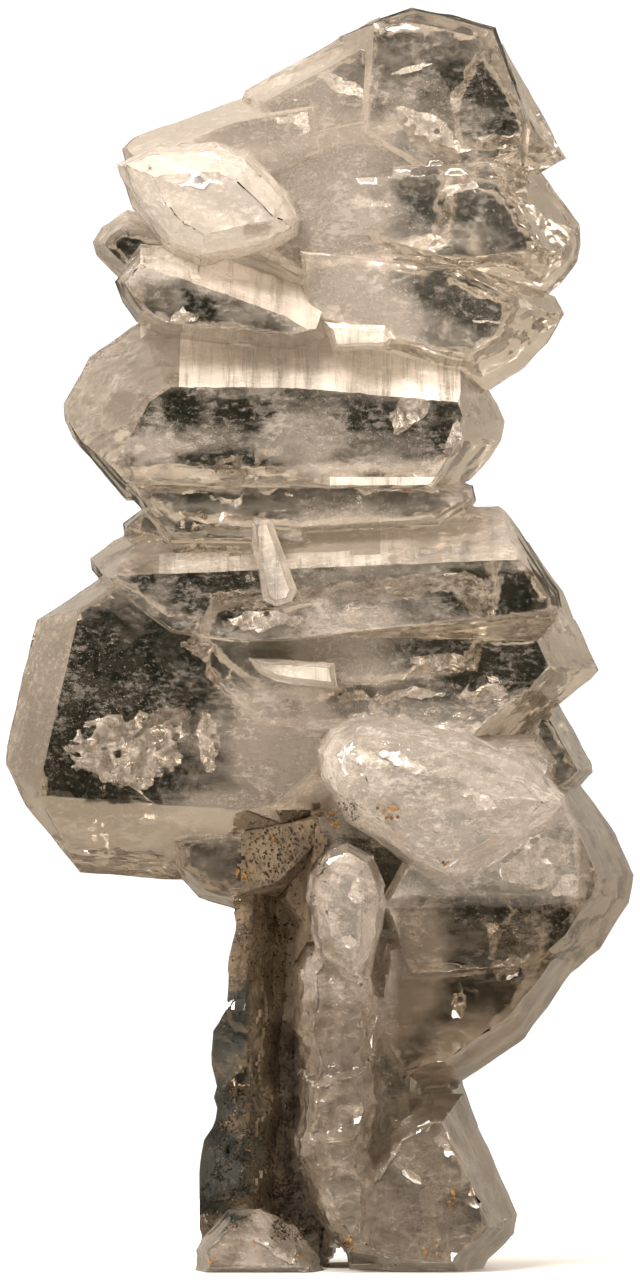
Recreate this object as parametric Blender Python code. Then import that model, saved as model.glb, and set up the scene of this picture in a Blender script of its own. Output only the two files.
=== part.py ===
"""Faden quartz crystal: flat, double-ended quartz crystals stacked along one milky thread.

The crystals lie on their sides, one above the other, and fan out at the top. They grew into each
other, so the whole cluster is one solid. It stands upright on its flat foot.
Metres, +Z up. The show side faces -Y and the foot rests on z = 0.
"""
from itertools import combinations

import bmesh
import bpy
import numpy as np
from mathutils import Vector, noise

# Driving dimensions, in millimetres. The corners below are laid out for a cluster of DRAWN_HEIGHT.
CLUSTER_HEIGHT = 101.0
DRAWN_HEIGHT = 101.0
MM = 0.001 * CLUSTER_HEIGHT / DRAWN_HEIGHT
FOOT_LEVEL = 0.0

# Every crystal is given by its widest outline, seen from the front. A corner is (x, z, front, back):
# front and back are the widths of the sloping faces that start on the edge after that corner.
# Depth is the y of the front face, of the widest outline and of the back face.
# Rounds is how many flats make each sloping face, so 1 is sharp and 3 looks worn or frosted.
# Lean is how much the front face comes forward (minus) or falls back (plus) per step to the right.

# The fan at the top: crystals that spread from the thread like fingers of a hand.
FAN = {
    "crown_left": dict(depth=(-4.0, 0.4, 5.0), corners=[
        (-6.9, 92.6, 0.8, 1.1), (-6.1, 94.4, 1.8, 1.6), (4.7, 100.3, 3.2, 2.4),
        (12.0, 96.6, 4.8, 3.2), (9.6, 87.0, 4.8, 4.0), (-3.2, 84.2, 4.8, 3.2),
        (-7.0, 88.6, 2.4, 1.6)]),
    "crown_right": dict(depth=(-5.6, 0.0, 6.2), lean=-0.12, corners=[
        (1.4, 98.6, 0.5, 1.1), (4.8, 100.2, 0.5, 1.1), (7.3, 101.0, 0.5, 1.0),
        (10.6, 100.4, 0.6, 0.9), (14.1, 99.4, 0.5, 0.8), (15.6, 95.5, 0.5, 0.8),
        (17.1, 91.0, 0.8, 1.6), (16.3, 87.7, 1.6, 1.6), (8.8, 84.2, 3.2, 3.2),
        (0.8, 89.4, 3.2, 3.2)]),
    "crown_back": dict(depth=(-2.0, 3.2, 7.6), corners=[
        (12.0, 98.2, 0.8, 0.8), (14.7, 98.2, 1.3, 1.0), (17.8, 92.7, 1.1, 0.8),
        (19.8, 88.9, 2.1, 1.1), (17.4, 87.5, 3.2, 3.2), (10.4, 87.0, 1.6, 1.6),
        (9.6, 94.2, 1.6, 1.6)]),
    "finger_upper": dict(depth=(-6.6, -1.4, 4.2), lean=-0.22, corners=[
        (4.8, 88.6, 1.0, 1.0), (14.4, 89.4, 1.1, 1.0), (16.6, 88.0, 1.0, 1.0),
        (17.4, 87.0, 0.8, 1.0), (17.0, 85.4, 1.0, 1.0), (14.4, 84.2, 1.6, 1.6),
        (4.8, 84.2, 1.6, 1.6)]),
    "finger_middle": dict(depth=(-7.4, -0.6, 6.6), lean=-0.26, corners=[
        (0.8, 87.4, 0.8, 0.8), (12.0, 88.2, 1.0, 1.0), (17.7, 87.8, 3.2, 2.4),
        (20.8, 83.6, 2.2, 2.2), (21.0, 81.8, 2.1, 1.9), (20.7, 80.5, 1.9, 1.9),
        (19.4, 78.8, 2.4, 1.9), (18.2, 77.8, 3.2, 2.4), (12.0, 77.8, 2.4, 2.4),
        (0.0, 82.6, 1.6, 1.6)]),
    "finger_low": dict(depth=(-8.5, -1.2, 7.1), lean=-0.25, corners=[
        (-2.4, 81.8, 1.0, 0.8), (12.8, 80.5, 1.6, 1.3), (18.8, 77.8, 3.2, 2.4),
        (19.6, 76.3, 3.5, 2.4), (18.2, 73.9, 3.2, 2.4), (16.4, 72.0, 3.2, 2.4),
        (13.6, 70.1, 2.4, 2.4), (8.8, 71.2, 2.4, 2.4), (-1.6, 75.0, 1.6, 1.6)]),
    "shoulder": dict(depth=(-5.0, 0.2, 5.8), lean=0.04, corners=[
        (-16.0, 89.6, 0.8, 0.8), (-15.1, 90.6, 1.9, 1.6), (-6.5, 93.7, 2.1, 1.6),
        (1.6, 95.0, 3.2, 2.4), (3.2, 87.8, 3.2, 2.4), (-6.4, 82.6, 2.4, 2.4),
        (-14.4, 85.4, 1.3, 1.3), (-15.7, 88.0, 1.0, 1.0)]),
    "frosted_front": dict(depth=(-12.2, -6.0, 0.4), rounds=2, corners=[
        (-16.6, 88.3, 2.4, 1.6), (-13.8, 89.7, 2.6, 1.6), (-8.4, 90.2, 2.6, 1.6),
        (-5.6, 89.3, 2.4, 1.6), (-2.4, 86.1, 2.0, 1.6), (-1.4, 84.0, 1.8, 1.6),
        (-1.7, 82.4, 2.0, 1.6), (-4.0, 81.0, 2.4, 1.6), (-9.6, 79.8, 2.4, 1.6),
        (-12.6, 81.3, 2.4, 1.6), (-15.2, 84.5, 2.6, 1.6)]),
    "left_nub": dict(depth=(-3.3, 0.3, 4.3), corners=[
        (-18.4, 82.2, 1.1, 1.1), (-17.6, 83.4, 1.1, 1.1), (-15.5, 84.8, 1.6, 1.6),
        (-10.4, 83.9, 1.6, 1.6), (-9.6, 78.2, 1.6, 1.6), (-15.0, 78.0, 1.1, 1.0),
        (-18.1, 81.0, 1.0, 1.0)]),
    "striped_middle": dict(depth=(-10.3, -3.1, 5.3), corners=[
        (-16.6, 78.9, 1.0, 1.1), (-14.4, 82.0, 1.6, 1.3), (-9.2, 81.4, 2.9, 1.6),
        (-1.6, 78.6, 2.9, 1.6), (0.4, 77.4, 1.0, 1.6), (0.6, 74.4, 1.0, 1.1),
        (-2.4, 73.3, 1.1, 1.1), (-12.8, 74.4, 1.1, 1.1), (-14.8, 75.6, 1.0, 1.0),
        (-15.9, 77.2, 0.8, 0.8)]),
    "middle_chip": dict(depth=(-11.0, -7.0, -2.2), corners=[
        (0.2, 75.7, 0.8, 0.8), (5.2, 75.4, 0.6, 0.6), (6.1, 74.2, 0.6, 0.6),
        (5.6, 73.3, 0.6, 0.6), (0.8, 73.1, 0.6, 0.6)]),
    "fan_core": dict(depth=(-4.4, 3.0, 9.0), corners=[
        (-11.2, 90.2, 1.6, 2.4), (8.0, 94.2, 1.6, 2.4), (14.4, 88.6, 1.6, 2.4),
        (12.8, 80.6, 1.6, 2.4), (-1.6, 77.4, 1.6, 2.4), (-12.0, 83.0, 1.6, 2.4)]),
}

# The second crystal: a six-sided prism on its side, whose bright upper face leans back.
SECOND = {
    "second_tablet": dict(depth=(-9.2, 0.0, 8.2), corners=[
        (-14.6, 75.8, 5.4, 3.2), (-1.6, 75.7, 5.4, 3.5), (10.8, 74.6, 2.4, 2.4),
        (14.3, 69.2, 3.2, 2.4), (14.8, 67.8, 3.5, 2.4), (14.6, 66.2, 2.9, 2.1),
        (13.6, 64.7, 2.1, 1.9), (12.1, 63.0, 1.4, 2.4), (8.8, 61.1, 1.4, 2.7),
        (-15.6, 61.3, 1.0, 1.9), (-20.0, 66.4, 1.5, 1.9), (-20.6, 67.8, 2.2, 2.1),
        (-20.7, 69.2, 6.2, 3.2), (-18.6, 73.0, 6.0, 3.2)]),
    "second_lower": dict(depth=(-7.6, -1.0, 6.1), corners=[
        (-16.6, 63.0, 0.6, 1.0), (-1.6, 63.8, 1.0, 1.0), (9.6, 63.4, 1.1, 1.0),
        (12.3, 62.7, 1.0, 1.0), (12.6, 61.4, 1.0, 1.0), (11.7, 60.3, 1.1, 1.1),
        (9.6, 58.9, 1.0, 1.3), (-1.6, 58.2, 1.0, 1.3), (-12.8, 59.0, 0.6, 1.1),
        (-14.3, 60.5, 0.6, 1.0)]),
    "thin_plate": dict(depth=(-8.0, -4.0, 0.6), lean=0.1, corners=[
        (-16.2, 63.8, 0.6, 0.6), (-1.6, 62.6, 0.6, 0.6), (-0.8, 57.6, 0.6, 0.6),
        (-12.0, 57.8, 0.5, 0.6), (-14.2, 60.4, 0.5, 0.6)]),
}

# The third pair: two parallel prisms with a bright shelf on top of the upper one.
THIRD = {
    "third_upper": dict(depth=(-10.1, -0.9, 7.4), corners=[
        (-18.5, 56.8, 2.4, 1.3), (-16.6, 58.3, 2.6, 1.4), (-12.8, 60.0, 4.5, 1.9),
        (14.3, 61.1, 2.4, 1.6), (15.1, 60.4, 1.1, 1.3), (19.2, 54.2, 1.0, 1.1), (19.4, 52.8, 0.8, 1.1),
        (18.4, 52.0, 0.6, 1.8), (-1.6, 49.8, 0.6, 1.8), (-6.4, 49.6, 0.6, 1.6),
        (-12.0, 50.4, 0.6, 1.1), (-17.0, 54.1, 0.8, 1.1), (-18.4, 55.8, 1.3, 1.1)]),
    "corner_chip": dict(depth=(-4.2, -1.1, 3.1), corners=[
        (-15.9, 59.6, 0.5, 0.6), (-14.2, 60.9, 0.6, 0.6), (-9.6, 60.6, 0.8, 0.8),
        (-9.6, 56.6, 0.8, 0.8), (-15.8, 58.6, 0.5, 0.6)]),
    "third_lower": dict(depth=(-7.8, 0.9, 9.4), lean=-0.08, corners=[
        (-11.2, 51.4, 1.6, 1.6), (0.8, 53.1, 2.7, 2.1), (19.2, 53.1, 2.4, 2.1),
        (20.5, 51.9, 3.4, 2.2), (22.4, 47.8, 3.2, 2.1), (21.8, 47.1, 2.4, 1.9),
        (14.4, 41.2, 1.6, 1.9), (8.0, 40.0, 2.4, 2.4), (-5.6, 41.6, 2.4, 2.4),
        (-10.4, 46.2, 2.4, 1.9)]),
    "third_back": dict(depth=(1.8, 6.2, 10.4), corners=[
        (12.8, 59.8, 1.6, 1.3), (16.8, 58.2, 1.6, 1.3), (19.6, 54.2, 1.6, 1.3),
        (20.6, 51.7, 1.6, 1.3), (19.2, 48.6, 1.6, 1.6), (12.0, 48.6, 1.6, 1.6)]),
    "cross_blade": dict(depth=(-13.6, -10.4, -7.0), corners=[
        (-5.6, 59.8, 0.5, 0.5), (-3.8, 60.0, 0.6, 0.6), (-1.8, 54.2, 0.6, 0.6),
        (-2.2, 53.2, 0.5, 0.5), (-3.6, 52.8, 0.5, 0.5), (-4.6, 53.4, 0.6, 0.6),
        (-5.6, 57.8, 0.6, 0.6)]),
    "side_blade": dict(depth=(-11.8, -8.2, -4.6), corners=[
        (-6.0, 49.0, 0.5, 0.5), (1.2, 48.5, 0.6, 0.6), (1.6, 46.2, 0.6, 0.6),
        (-3.6, 46.8, 0.6, 0.6), (-5.2, 47.7, 0.6, 0.6)]),
}

# The fourth crystal: a wide window-clear tablet on the left, and the pieces below its edge.
FOURTH = {
    "fourth_left": dict(depth=(-6.5, -0.8, 6.8), corners=[
        (-16.6, 56.0, 1.3, 1.4), (-22.8, 51.9, 2.8, 2.4), (-23.4, 49.6, 3.4, 2.4),
        (-25.2, 41.8, 3.2, 2.4), (-25.3, 40.3, 1.7, 1.7), (-23.7, 36.9, 1.7, 1.7),
        (-19.3, 31.5, 6.1, 4.6), (-10.8, 30.9, 4.8, 3.2), (-1.6, 32.6, 4.8, 3.2),
        (6.4, 39.8, 3.2, 3.2), (2.4, 49.4, 2.4, 2.4), (-8.8, 54.2, 1.6, 1.6)]),
    "fourth_foot": dict(depth=(-4.9, 0.3, 5.2), corners=[
        (-12.8, 35.0, 1.3, 1.3), (0.8, 37.4, 1.3, 1.3), (0.8, 33.4, 1.3, 1.3),
        (-2.4, 30.2, 1.1, 1.3), (-7.0, 28.6, 1.0, 1.1), (-9.8, 29.5, 1.0, 1.1),
        (-12.0, 31.8, 1.1, 1.3)]),
    "right_point": dict(depth=(-6.2, 0.1, 6.4), corners=[
        (16.8, 45.2, 1.3, 1.3), (19.1, 45.3, 1.4, 1.1), (21.8, 40.4, 1.3, 1.1),
        (21.9, 39.6, 1.2, 1.1), (20.6, 38.2, 1.1, 1.1), (18.0, 37.0, 1.3, 1.3), (13.6, 39.8, 1.3, 1.3)]),
    "right_chip": dict(depth=(-9.3, -6.1, -2.3), corners=[
        (12.0, 42.8, 0.8, 0.8), (17.4, 42.8, 0.6, 0.8), (18.9, 40.5, 0.6, 0.8),
        (18.6, 38.6, 0.6, 0.8), (14.4, 40.0, 0.8, 0.8)]),
    "middle_core": dict(depth=(-3.2, 3.4, 11.2), corners=[
        (-9.6, 55.8, 1.6, 3.2), (12.8, 57.8, 1.6, 4.0), (18.0, 53.4, 1.6, 3.2),
        (14.8, 45.4, 1.6, 3.2), (-4.8, 42.6, 1.6, 3.2), (-12.4, 49.0, 1.6, 2.4)]),
}

# The lower half: a milky crystal in front, a large clear one to the right, and the stem down to
# two feet.
LOWER = {
    "milky_front": dict(depth=(-15.8, -9.6, -1.8), rounds=3, corners=[
        (-0.5, 41.6, 3.4, 1.9), (0.5, 43.5, 3.8, 1.9), (2.6, 44.5, 4.0, 1.9),
        (5.4, 44.6, 4.0, 1.9), (12.0, 43.0, 4.0, 1.9), (16.8, 41.0, 3.6, 1.9),
        (19.7, 38.2, 3.0, 1.9), (20.1, 36.6, 3.6, 1.9), (18.9, 35.4, 4.2, 1.9),
        (10.9, 30.4, 3.4, 1.6), (9.4, 30.7, 3.4, 1.6), (6.2, 32.5, 3.6, 1.9),
        (1.6, 35.7, 3.4, 1.9), (-0.2, 38.9, 3.2, 1.9)]),
    "right_large": dict(depth=(-9.0, 0.8, 10.8), corners=[
        (8.8, 38.2, 1.6, 1.6), (19.2, 39.8, 1.6, 1.6), (21.0, 38.6, 2.4, 1.9),
        (23.8, 34.7, 2.9, 2.1), (25.2, 31.4, 3.2, 2.4), (24.8, 29.1, 3.2, 2.4),
        (22.4, 25.4, 2.9, 2.1), (19.8, 23.2, 1.1, 1.6), (6.4, 22.4, 1.1, 1.6),
        (4.0, 29.4, 1.1, 1.1)]),
    "right_lower": dict(depth=(-8.1, 1.0, 9.8), corners=[
        (4.2, 27.0, 1.1, 1.6), (19.2, 25.8, 1.1, 1.6), (20.8, 24.4, 2.1, 2.1),
        (16.4, 18.2, 2.1, 2.1), (14.4, 16.8, 2.4, 2.1), (11.4, 14.7, 2.1, 2.4),
        (6.0, 13.4, 2.1, 2.4), (2.4, 18.2, 1.6, 1.6)]),
    "front_low": dict(depth=(-14.6, -8.8, -1.6), rounds=2, corners=[
        (-1.6, 29.4, 2.0, 1.6), (-1.3, 32.0, 2.2, 1.6), (0.2, 33.8, 2.4, 1.6),
        (2.2, 34.4, 2.4, 1.6), (4.5, 33.4, 2.2, 1.6), (5.4, 30.7, 2.0, 1.6),
        (5.3, 27.4, 1.6, 1.6), (3.8, 22.2, 1.6, 1.3), (1.9, 22.7, 1.8, 1.4),
        (-0.6, 24.2, 1.8, 1.6)]),
    "column_top": dict(depth=(-10.6, -5.0, 2.4), rounds=2, corners=[
        (-2.6, 24.2, 1.8, 1.3), (-1.1, 26.2, 1.8, 1.3), (4.8, 25.4, 1.8, 1.3),
        (5.4, 19.0, 1.8, 1.3), (4.8, 14.4, 1.8, 1.3), (-1.4, 14.1, 1.8, 1.3),
        (-2.5, 19.0, 1.8, 1.3)]),
    "column_middle": dict(depth=(-11.4, -5.4, 2.0), rounds=2, corners=[
        (-2.2, 16.3, 1.8, 1.3), (4.8, 18.2, 1.8, 1.3), (5.3, 13.4, 1.8, 1.3),
        (4.6, 8.5, 1.8, 1.3), (0.8, 6.9, 1.8, 1.3), (-2.1, 10.2, 1.6, 1.3)]),
    "column_low": dict(depth=(-12.6, -5.8, 2.2), rounds=2, corners=[
        (-2.6, 10.9, 1.8, 1.3), (-1.6, 12.6, 1.8, 1.3), (4.0, 12.2, 2.0, 1.3),
        (5.4, 7.0, 2.0, 1.3), (5.1, 0.5, 1.8, 1.3), (1.9, 0.9, 1.6, 1.3),
        (-0.2, 3.2, 1.6, 1.3), (-1.6, 6.7, 1.6, 1.3), (-2.5, 9.0, 1.6, 1.3)]),
    "foot_right": dict(depth=(-11.7, -1.8, 9.2), corners=[
        (5.1, 12.3, 1.8, 1.6), (8.8, 14.1, 1.9, 1.6), (11.5, 14.1, 2.4, 1.9),
        (16.0, 4.3, 2.1, 2.1), (15.7, 2.6, 2.1, 1.9), (11.7, -1.3, 1.8, 1.9),
        (6.1, -1.0, 1.6, 1.6), (2.4, 0.5, 1.6, 1.6), (2.1, 7.0, 1.6, 1.6)]),
    "back_right": dict(depth=(-2.1, 4.1, 10.1), corners=[
        (6.0, 15.4, 1.3, 1.3), (11.4, 15.0, 1.1, 1.1), (12.8, 11.4, 1.1, 1.1),
        (13.1, 10.1, 1.3, 1.3), (9.6, 7.8, 1.6, 1.6), (5.2, 9.4, 1.3, 1.3)]),
    "foot_left": dict(depth=(-11.6, -6.2, 1.0), corners=[
        (-10.2, 1.6, 0.8, 1.0), (-9.8, 2.7, 1.0, 1.0), (-7.5, 5.1, 1.1, 1.0),
        (-4.6, 5.4, 2.4, 1.1), (-1.3, 3.7, 1.9, 1.1), (0.5, 1.4, 1.1, 1.0),
        (0.2, -0.8, 1.0, 1.0), (-9.9, -0.8, 1.0, 1.0)]),
    "stem": dict(depth=(-5.3, 0.2, 6.3), corners=[
        (-1.6, 37.4, 1.3, 1.3), (8.0, 38.2, 1.3, 1.3), (8.8, 21.4, 1.3, 1.3),
        (8.3, -1.0, 1.3, 1.3), (0.2, -1.0, 1.3, 1.3), (-2.1, 21.4, 1.3, 1.3)]),
    "back_rib": dict(depth=(-1.9, 4.6, 12.0), corners=[
        (-2.4, 37.4, 1.6, 2.4), (16.0, 35.8, 1.6, 2.9), (20.0, 29.4, 1.6, 2.9),
        (14.4, 21.4, 1.6, 2.9), (1.6, 20.6, 1.6, 2.4), (-4.4, 29.4, 1.6, 2.4)]),
    "back_foot": dict(depth=(2.2, 5.6, 10.9), corners=[
        (-5.6, 11.8, 1.6, 2.4), (6.4, 14.2, 1.6, 2.4), (12.0, 8.6, 1.6, 2.4),
        (10.1, -1.3, 1.6, 1.9), (-6.7, -1.3, 1.6, 1.9), (-9.0, 5.4, 1.6, 2.4)]),
}

# The gap between the two feet.
FOOT_NOTCH = dict(depth=(-20.0, 0.0, 20.0), corners=[
    (0.0, -1.2, 0.0, 0.0), (1.3, 2.0, 0.0, 0.0), (2.0, 1.1, 0.0, 0.0), (2.5, -1.2, 0.0, 0.0)])

# The rough wall at the lower left, where the quartz grew against the rock. Its ragged left edge
# runs from top to bottom, and its face falls back into a groove beside the stem.
WALL_EDGE = [
    (-6.4, 38.0), (-7.0, 29.0), (-6.7, 27.4), (-7.4, 24.6), (-7.4, 22.6), (-7.6, 20.6),
    (-8.6, 19.0), (-8.8, 16.6), (-8.3, 14.6), (-8.8, 14.0), (-8.2, 13.4), (-8.5, 11.4),
    (-9.4, 10.2), (-9.7, 8.2), (-9.7, 3.4), (-9.2, 0.5), (-9.0, -1.0)]
WALL_RIGHT = 0.6
WALL_FRONT = -3.8
WALL_GROOVE = 1.4
WALL_BACK = 6.2
WALL_MIDDLE = 1.0
WALL_BULGE = 0.05
WALL_ROWS = 46
WALL_COLUMNS = 9
WALL_KNOBS = 1.1
WALL_GRAIN = 2.6


def quartz_material():
    """Clear quartz with a warm grey cast."""
    material = bpy.data.materials.new("clear_quartz")
    material.use_nodes = True
    shader = material.node_tree.nodes["Principled BSDF"]
    shader.inputs["Base Color"].default_value = (0.55, 0.48, 0.38, 1.0)
    shader.inputs["Roughness"].default_value = 0.08
    shader.inputs["Metallic"].default_value = 0.0
    shader.inputs["IOR"].default_value = 1.544
    return material


def edge_planes(start, end, outward_sign, middle, face, width, rounds):
    """Planes of the sloping face that leads from one outline edge to a front or back face.

    The face is one flat, or a few flats along a quarter ellipse. Each plane is (normal, offset).
    """
    along = np.array([end[0] - start[0], end[1] - start[1]])
    outward = outward_sign * np.array([along[1], -along[0]]) / np.linalg.norm(along)
    angles = np.linspace(0.0, np.pi / 2, rounds + 1)
    inward_steps = width * (1 - np.cos(angles))
    y_steps = middle + (face - middle) * np.sin(angles)
    side = np.sign(face - middle)
    planes = []
    for index in range(rounds):
        inward = inward_steps[index + 1] - inward_steps[index]
        rise = y_steps[index + 1] - y_steps[index]
        normal = np.array([outward[0] * abs(rise), side * inward, outward[1] * abs(rise)])
        normal = normal / np.linalg.norm(normal)
        point = np.array([start[0] - outward[0] * inward_steps[index], y_steps[index],
                          start[1] - outward[1] * inward_steps[index]])
        planes.append((normal, normal @ point))
    return planes


def crystal_planes(depth, corners, rounds=1, lean=0.0):
    """All face planes of one crystal, in millimetres."""
    front, middle, back = depth
    middle_x = sum(corner[0] for corner in corners) / len(corners)
    front_normal = np.array([lean, -1.0, 0.0]) / np.hypot(lean, 1.0)
    following = corners[1:] + corners[:1]
    turned = sum(a[0] * b[1] - b[0] * a[1] for a, b in zip(corners, following))
    outward_sign = 1.0 if turned > 0 else -1.0
    planes = [(front_normal, front_normal @ np.array([middle_x, front, 0.0])),
              (np.array([0.0, 1.0, 0.0]), back)]
    for start, end in zip(corners, following):
        planes += edge_planes(start, end, outward_sign, middle, front, start[2], rounds)
        planes += edge_planes(start, end, outward_sign, middle, back, start[3], rounds)
    return planes


def corner_points(planes):
    """The points where three face planes meet and that lie inside all the others."""
    normals = np.array([plane[0] for plane in planes])
    offsets = np.array([plane[1] for plane in planes])
    triples = np.array(list(combinations(range(len(planes)), 3)))
    systems = normals[triples]
    solvable = np.abs(np.linalg.det(systems)) > 1e-5
    points = np.linalg.solve(systems[solvable], offsets[triples[solvable]][..., None])[..., 0]
    inside = (points @ normals.T <= offsets + 1e-6).all(axis=1)
    return np.unique(points[inside].round(4), axis=0)


def new_object(name, mesh):
    """A scene object that holds the mesh."""
    item = bpy.data.objects.new(name, mesh)
    bpy.context.scene.collection.objects.link(item)
    return item


def crystal(name, depth, corners, rounds=1, lean=0.0):
    """One crystal as a convex solid with flat faces."""
    form = bmesh.new()
    for point in corner_points(crystal_planes(depth, corners, rounds, lean)):
        form.verts.new(point * MM)
    bmesh.ops.convex_hull(form, input=form.verts)
    bmesh.ops.dissolve_limit(form, angle_limit=0.01, verts=form.verts, edges=form.edges)
    mesh = bpy.data.meshes.new(name)
    form.to_mesh(mesh)
    form.free()
    return new_object(name, mesh)


def wall_left(z):
    """x of the wall's ragged edge at a height."""
    edge = np.array(WALL_EDGE)[::-1]
    return float(np.interp(z, edge[:, 1], edge[:, 0]))


def wall_front(x, z):
    """y of the wall's rough face: it steps back into the groove, with knobs and hollows."""
    into_groove = np.clip((x + 6.2) / 3.4, 0.0, 1.0)
    into_groove = into_groove * into_groove * (3 - 2 * into_groove)
    knobs = noise.noise(Vector((x, 7.0, z)) / WALL_GRAIN)
    return WALL_FRONT + (WALL_GROOVE - WALL_FRONT) * into_groove + WALL_KNOBS * knobs


def wall_back(x, z):
    """y of the wall's back, rough too and drawn in towards the ragged edge."""
    knobs = noise.noise(Vector((x, 31.0, z)) / WALL_GRAIN)
    edge_loss = 2.4 * np.exp(-(x - wall_left(z)) / 1.3)
    return WALL_BACK - edge_loss + WALL_KNOBS * knobs


def rough_wall(name):
    """The wall as a closed slab with a rough face, back and edge."""
    form = bmesh.new()
    heights = np.linspace(WALL_EDGE[-1][1], WALL_EDGE[0][1], WALL_ROWS)
    shares = np.linspace(0.0, 1.0, WALL_COLUMNS) ** 1.2
    rings = []
    for z in heights:
        left = wall_left(z)
        columns = left + (WALL_RIGHT - left) * shares
        front = [form.verts.new(Vector((x, wall_front(x, z), z)) * MM) for x in columns]
        back = [form.verts.new(Vector((x, wall_back(x, z), z)) * MM) for x in columns[::-1]]
        middle = form.verts.new(Vector((left - WALL_BULGE, WALL_MIDDLE, z)) * MM)
        rings.append(front + back + [middle])
    for low, high in zip(rings, rings[1:]):
        for index in range(len(low)):
            after = (index + 1) % len(low)
            form.faces.new([low[index], low[after], high[after], high[index]])
    form.faces.new(rings[0][::-1])
    form.faces.new(rings[-1])
    bmesh.ops.triangulate(form, faces=form.faces)
    bmesh.ops.recalc_face_normals(form, faces=form.faces)
    mesh = bpy.data.meshes.new(name)
    form.to_mesh(mesh)
    form.free()
    return new_object(name, mesh)


def block_below_foot():
    """Everything under the foot, which the flat cut takes away."""
    form = bmesh.new()
    bmesh.ops.create_cube(form, size=1.0)
    block_height = 20.0
    bmesh.ops.scale(form, vec=Vector((80.0, 60.0, block_height)) * MM, verts=form.verts)
    bmesh.ops.translate(form, vec=Vector((0, 0, FOOT_LEVEL - block_height / 2)) * MM, verts=form.verts)
    mesh = bpy.data.meshes.new("block_below_foot")
    form.to_mesh(mesh)
    form.free()
    return new_object("block_below_foot", mesh)


def combine(solid, other, operation):
    """Union or difference of two solids. The second one is used up."""
    modifier = solid.modifiers.new(operation, "BOOLEAN")
    modifier.operation = operation
    modifier.solver = "EXACT"
    modifier.object = other
    evaluated = solid.evaluated_get(bpy.context.evaluated_depsgraph_get())
    mesh = bpy.data.meshes.new_from_object(evaluated)
    solid.modifiers.clear()
    solid.data = mesh
    bpy.data.objects.remove(other)


def keep_outer_shell(form):
    """Remove every shell but the widest, so that no sealed hollow is left inside."""
    unseen = set(form.verts)
    shells = []
    while unseen:
        waiting = [unseen.pop()]
        shell = set(waiting)
        while waiting:
            for edge in waiting.pop().link_edges:
                for vert in edge.verts:
                    if vert in unseen:
                        unseen.discard(vert)
                        shell.add(vert)
                        waiting.append(vert)
        shells.append(shell)
    shells.sort(key=lambda shell: max(v.co.z for v in shell) - min(v.co.z for v in shell))
    for shell in shells[:-1]:
        print("shell removed:", len(shell), "corners")
        bmesh.ops.delete(form, geom=list(shell), context="VERTS")


def tidy_mesh(solid):
    """Drop sealed hollows, and set the cluster on the middle of its foot."""
    form = bmesh.new()
    form.from_mesh(solid.data)
    bmesh.ops.remove_doubles(form, verts=form.verts, dist=0.00001)
    bmesh.ops.triangulate(form, faces=form.faces)
    keep_outer_shell(form)
    y_values = [vert.co.y for vert in form.verts]
    x_values = [vert.co.x for vert in form.verts]
    to_middle = Vector((-(min(x_values) + max(x_values)) / 2, -(min(y_values) + max(y_values)) / 2, 0))
    bmesh.ops.translate(form, vec=to_middle, verts=form.verts)
    print("triangles:", len(form.faces), "moved by", to_middle)
    form.to_mesh(solid.data)
    form.free()


def quartz_cluster():
    """All crystals and the rough wall joined in one solid, cut flat at the foot."""
    solid = rough_wall("quartz_cluster")
    for group in (LOWER, FOURTH, THIRD, SECOND, FAN):
        for name, form in group.items():
            combine(solid, crystal(name, **form), "UNION")
    combine(solid, crystal("foot_notch", **FOOT_NOTCH), "DIFFERENCE")
    combine(solid, block_below_foot(), "DIFFERENCE")
    tidy_mesh(solid)
    solid.data.name = "quartz_cluster"
    solid.data.materials.clear()
    solid.data.materials.append(quartz_material())
    return solid


for leftover in list(bpy.data.objects):
    bpy.data.objects.remove(leftover)
quartz_cluster()
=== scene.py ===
"""Looks of a faden quartz cluster: clear, striated crystals stacked along a milky thread."""
import math

import bmesh
import bpy
import numpy as np
from mathutils import Matrix, Vector, noise
from mathutils.bvhtree import BVHTree


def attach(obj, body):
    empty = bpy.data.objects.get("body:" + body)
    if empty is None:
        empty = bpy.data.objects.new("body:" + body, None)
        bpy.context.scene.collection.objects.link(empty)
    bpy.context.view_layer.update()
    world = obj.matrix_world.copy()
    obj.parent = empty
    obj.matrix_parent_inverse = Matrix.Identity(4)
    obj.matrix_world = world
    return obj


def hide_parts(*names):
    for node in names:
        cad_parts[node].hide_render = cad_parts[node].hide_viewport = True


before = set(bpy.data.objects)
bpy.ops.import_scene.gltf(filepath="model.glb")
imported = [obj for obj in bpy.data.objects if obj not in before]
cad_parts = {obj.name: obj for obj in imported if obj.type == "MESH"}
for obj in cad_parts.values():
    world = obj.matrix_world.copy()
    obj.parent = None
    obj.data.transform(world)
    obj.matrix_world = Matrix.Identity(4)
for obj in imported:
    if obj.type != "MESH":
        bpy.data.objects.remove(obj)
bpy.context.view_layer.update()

# Camera. A long lens, level with the middle of the cluster, looking along +Y. One pixel of the frame
# is 0.08 mm of crystal, and the foot stands 1268 pixels below the top.
PIXEL_MM = 0.08
FRAME_HEIGHT_PX = 1286
FOOT_PX = 1268
CAMERA_DISTANCE = 1.2
SENSOR_MM = 36.0
frame_height = FRAME_HEIGHT_PX * PIXEL_MM / 1000
camera_data = bpy.data.cameras.new("camera")
camera_data.sensor_fit = "VERTICAL"
camera_data.sensor_height = SENSOR_MM
camera_data.lens = SENSOR_MM * CAMERA_DISTANCE / frame_height
camera_data.clip_start = 0.05
camera = bpy.data.objects.new("camera", camera_data)
bpy.context.scene.collection.objects.link(camera)
camera_height = (FOOT_PX - FRAME_HEIGHT_PX / 2) * PIXEL_MM / 1000
camera.location = (0.0, -CAMERA_DISTANCE, camera_height)
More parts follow.
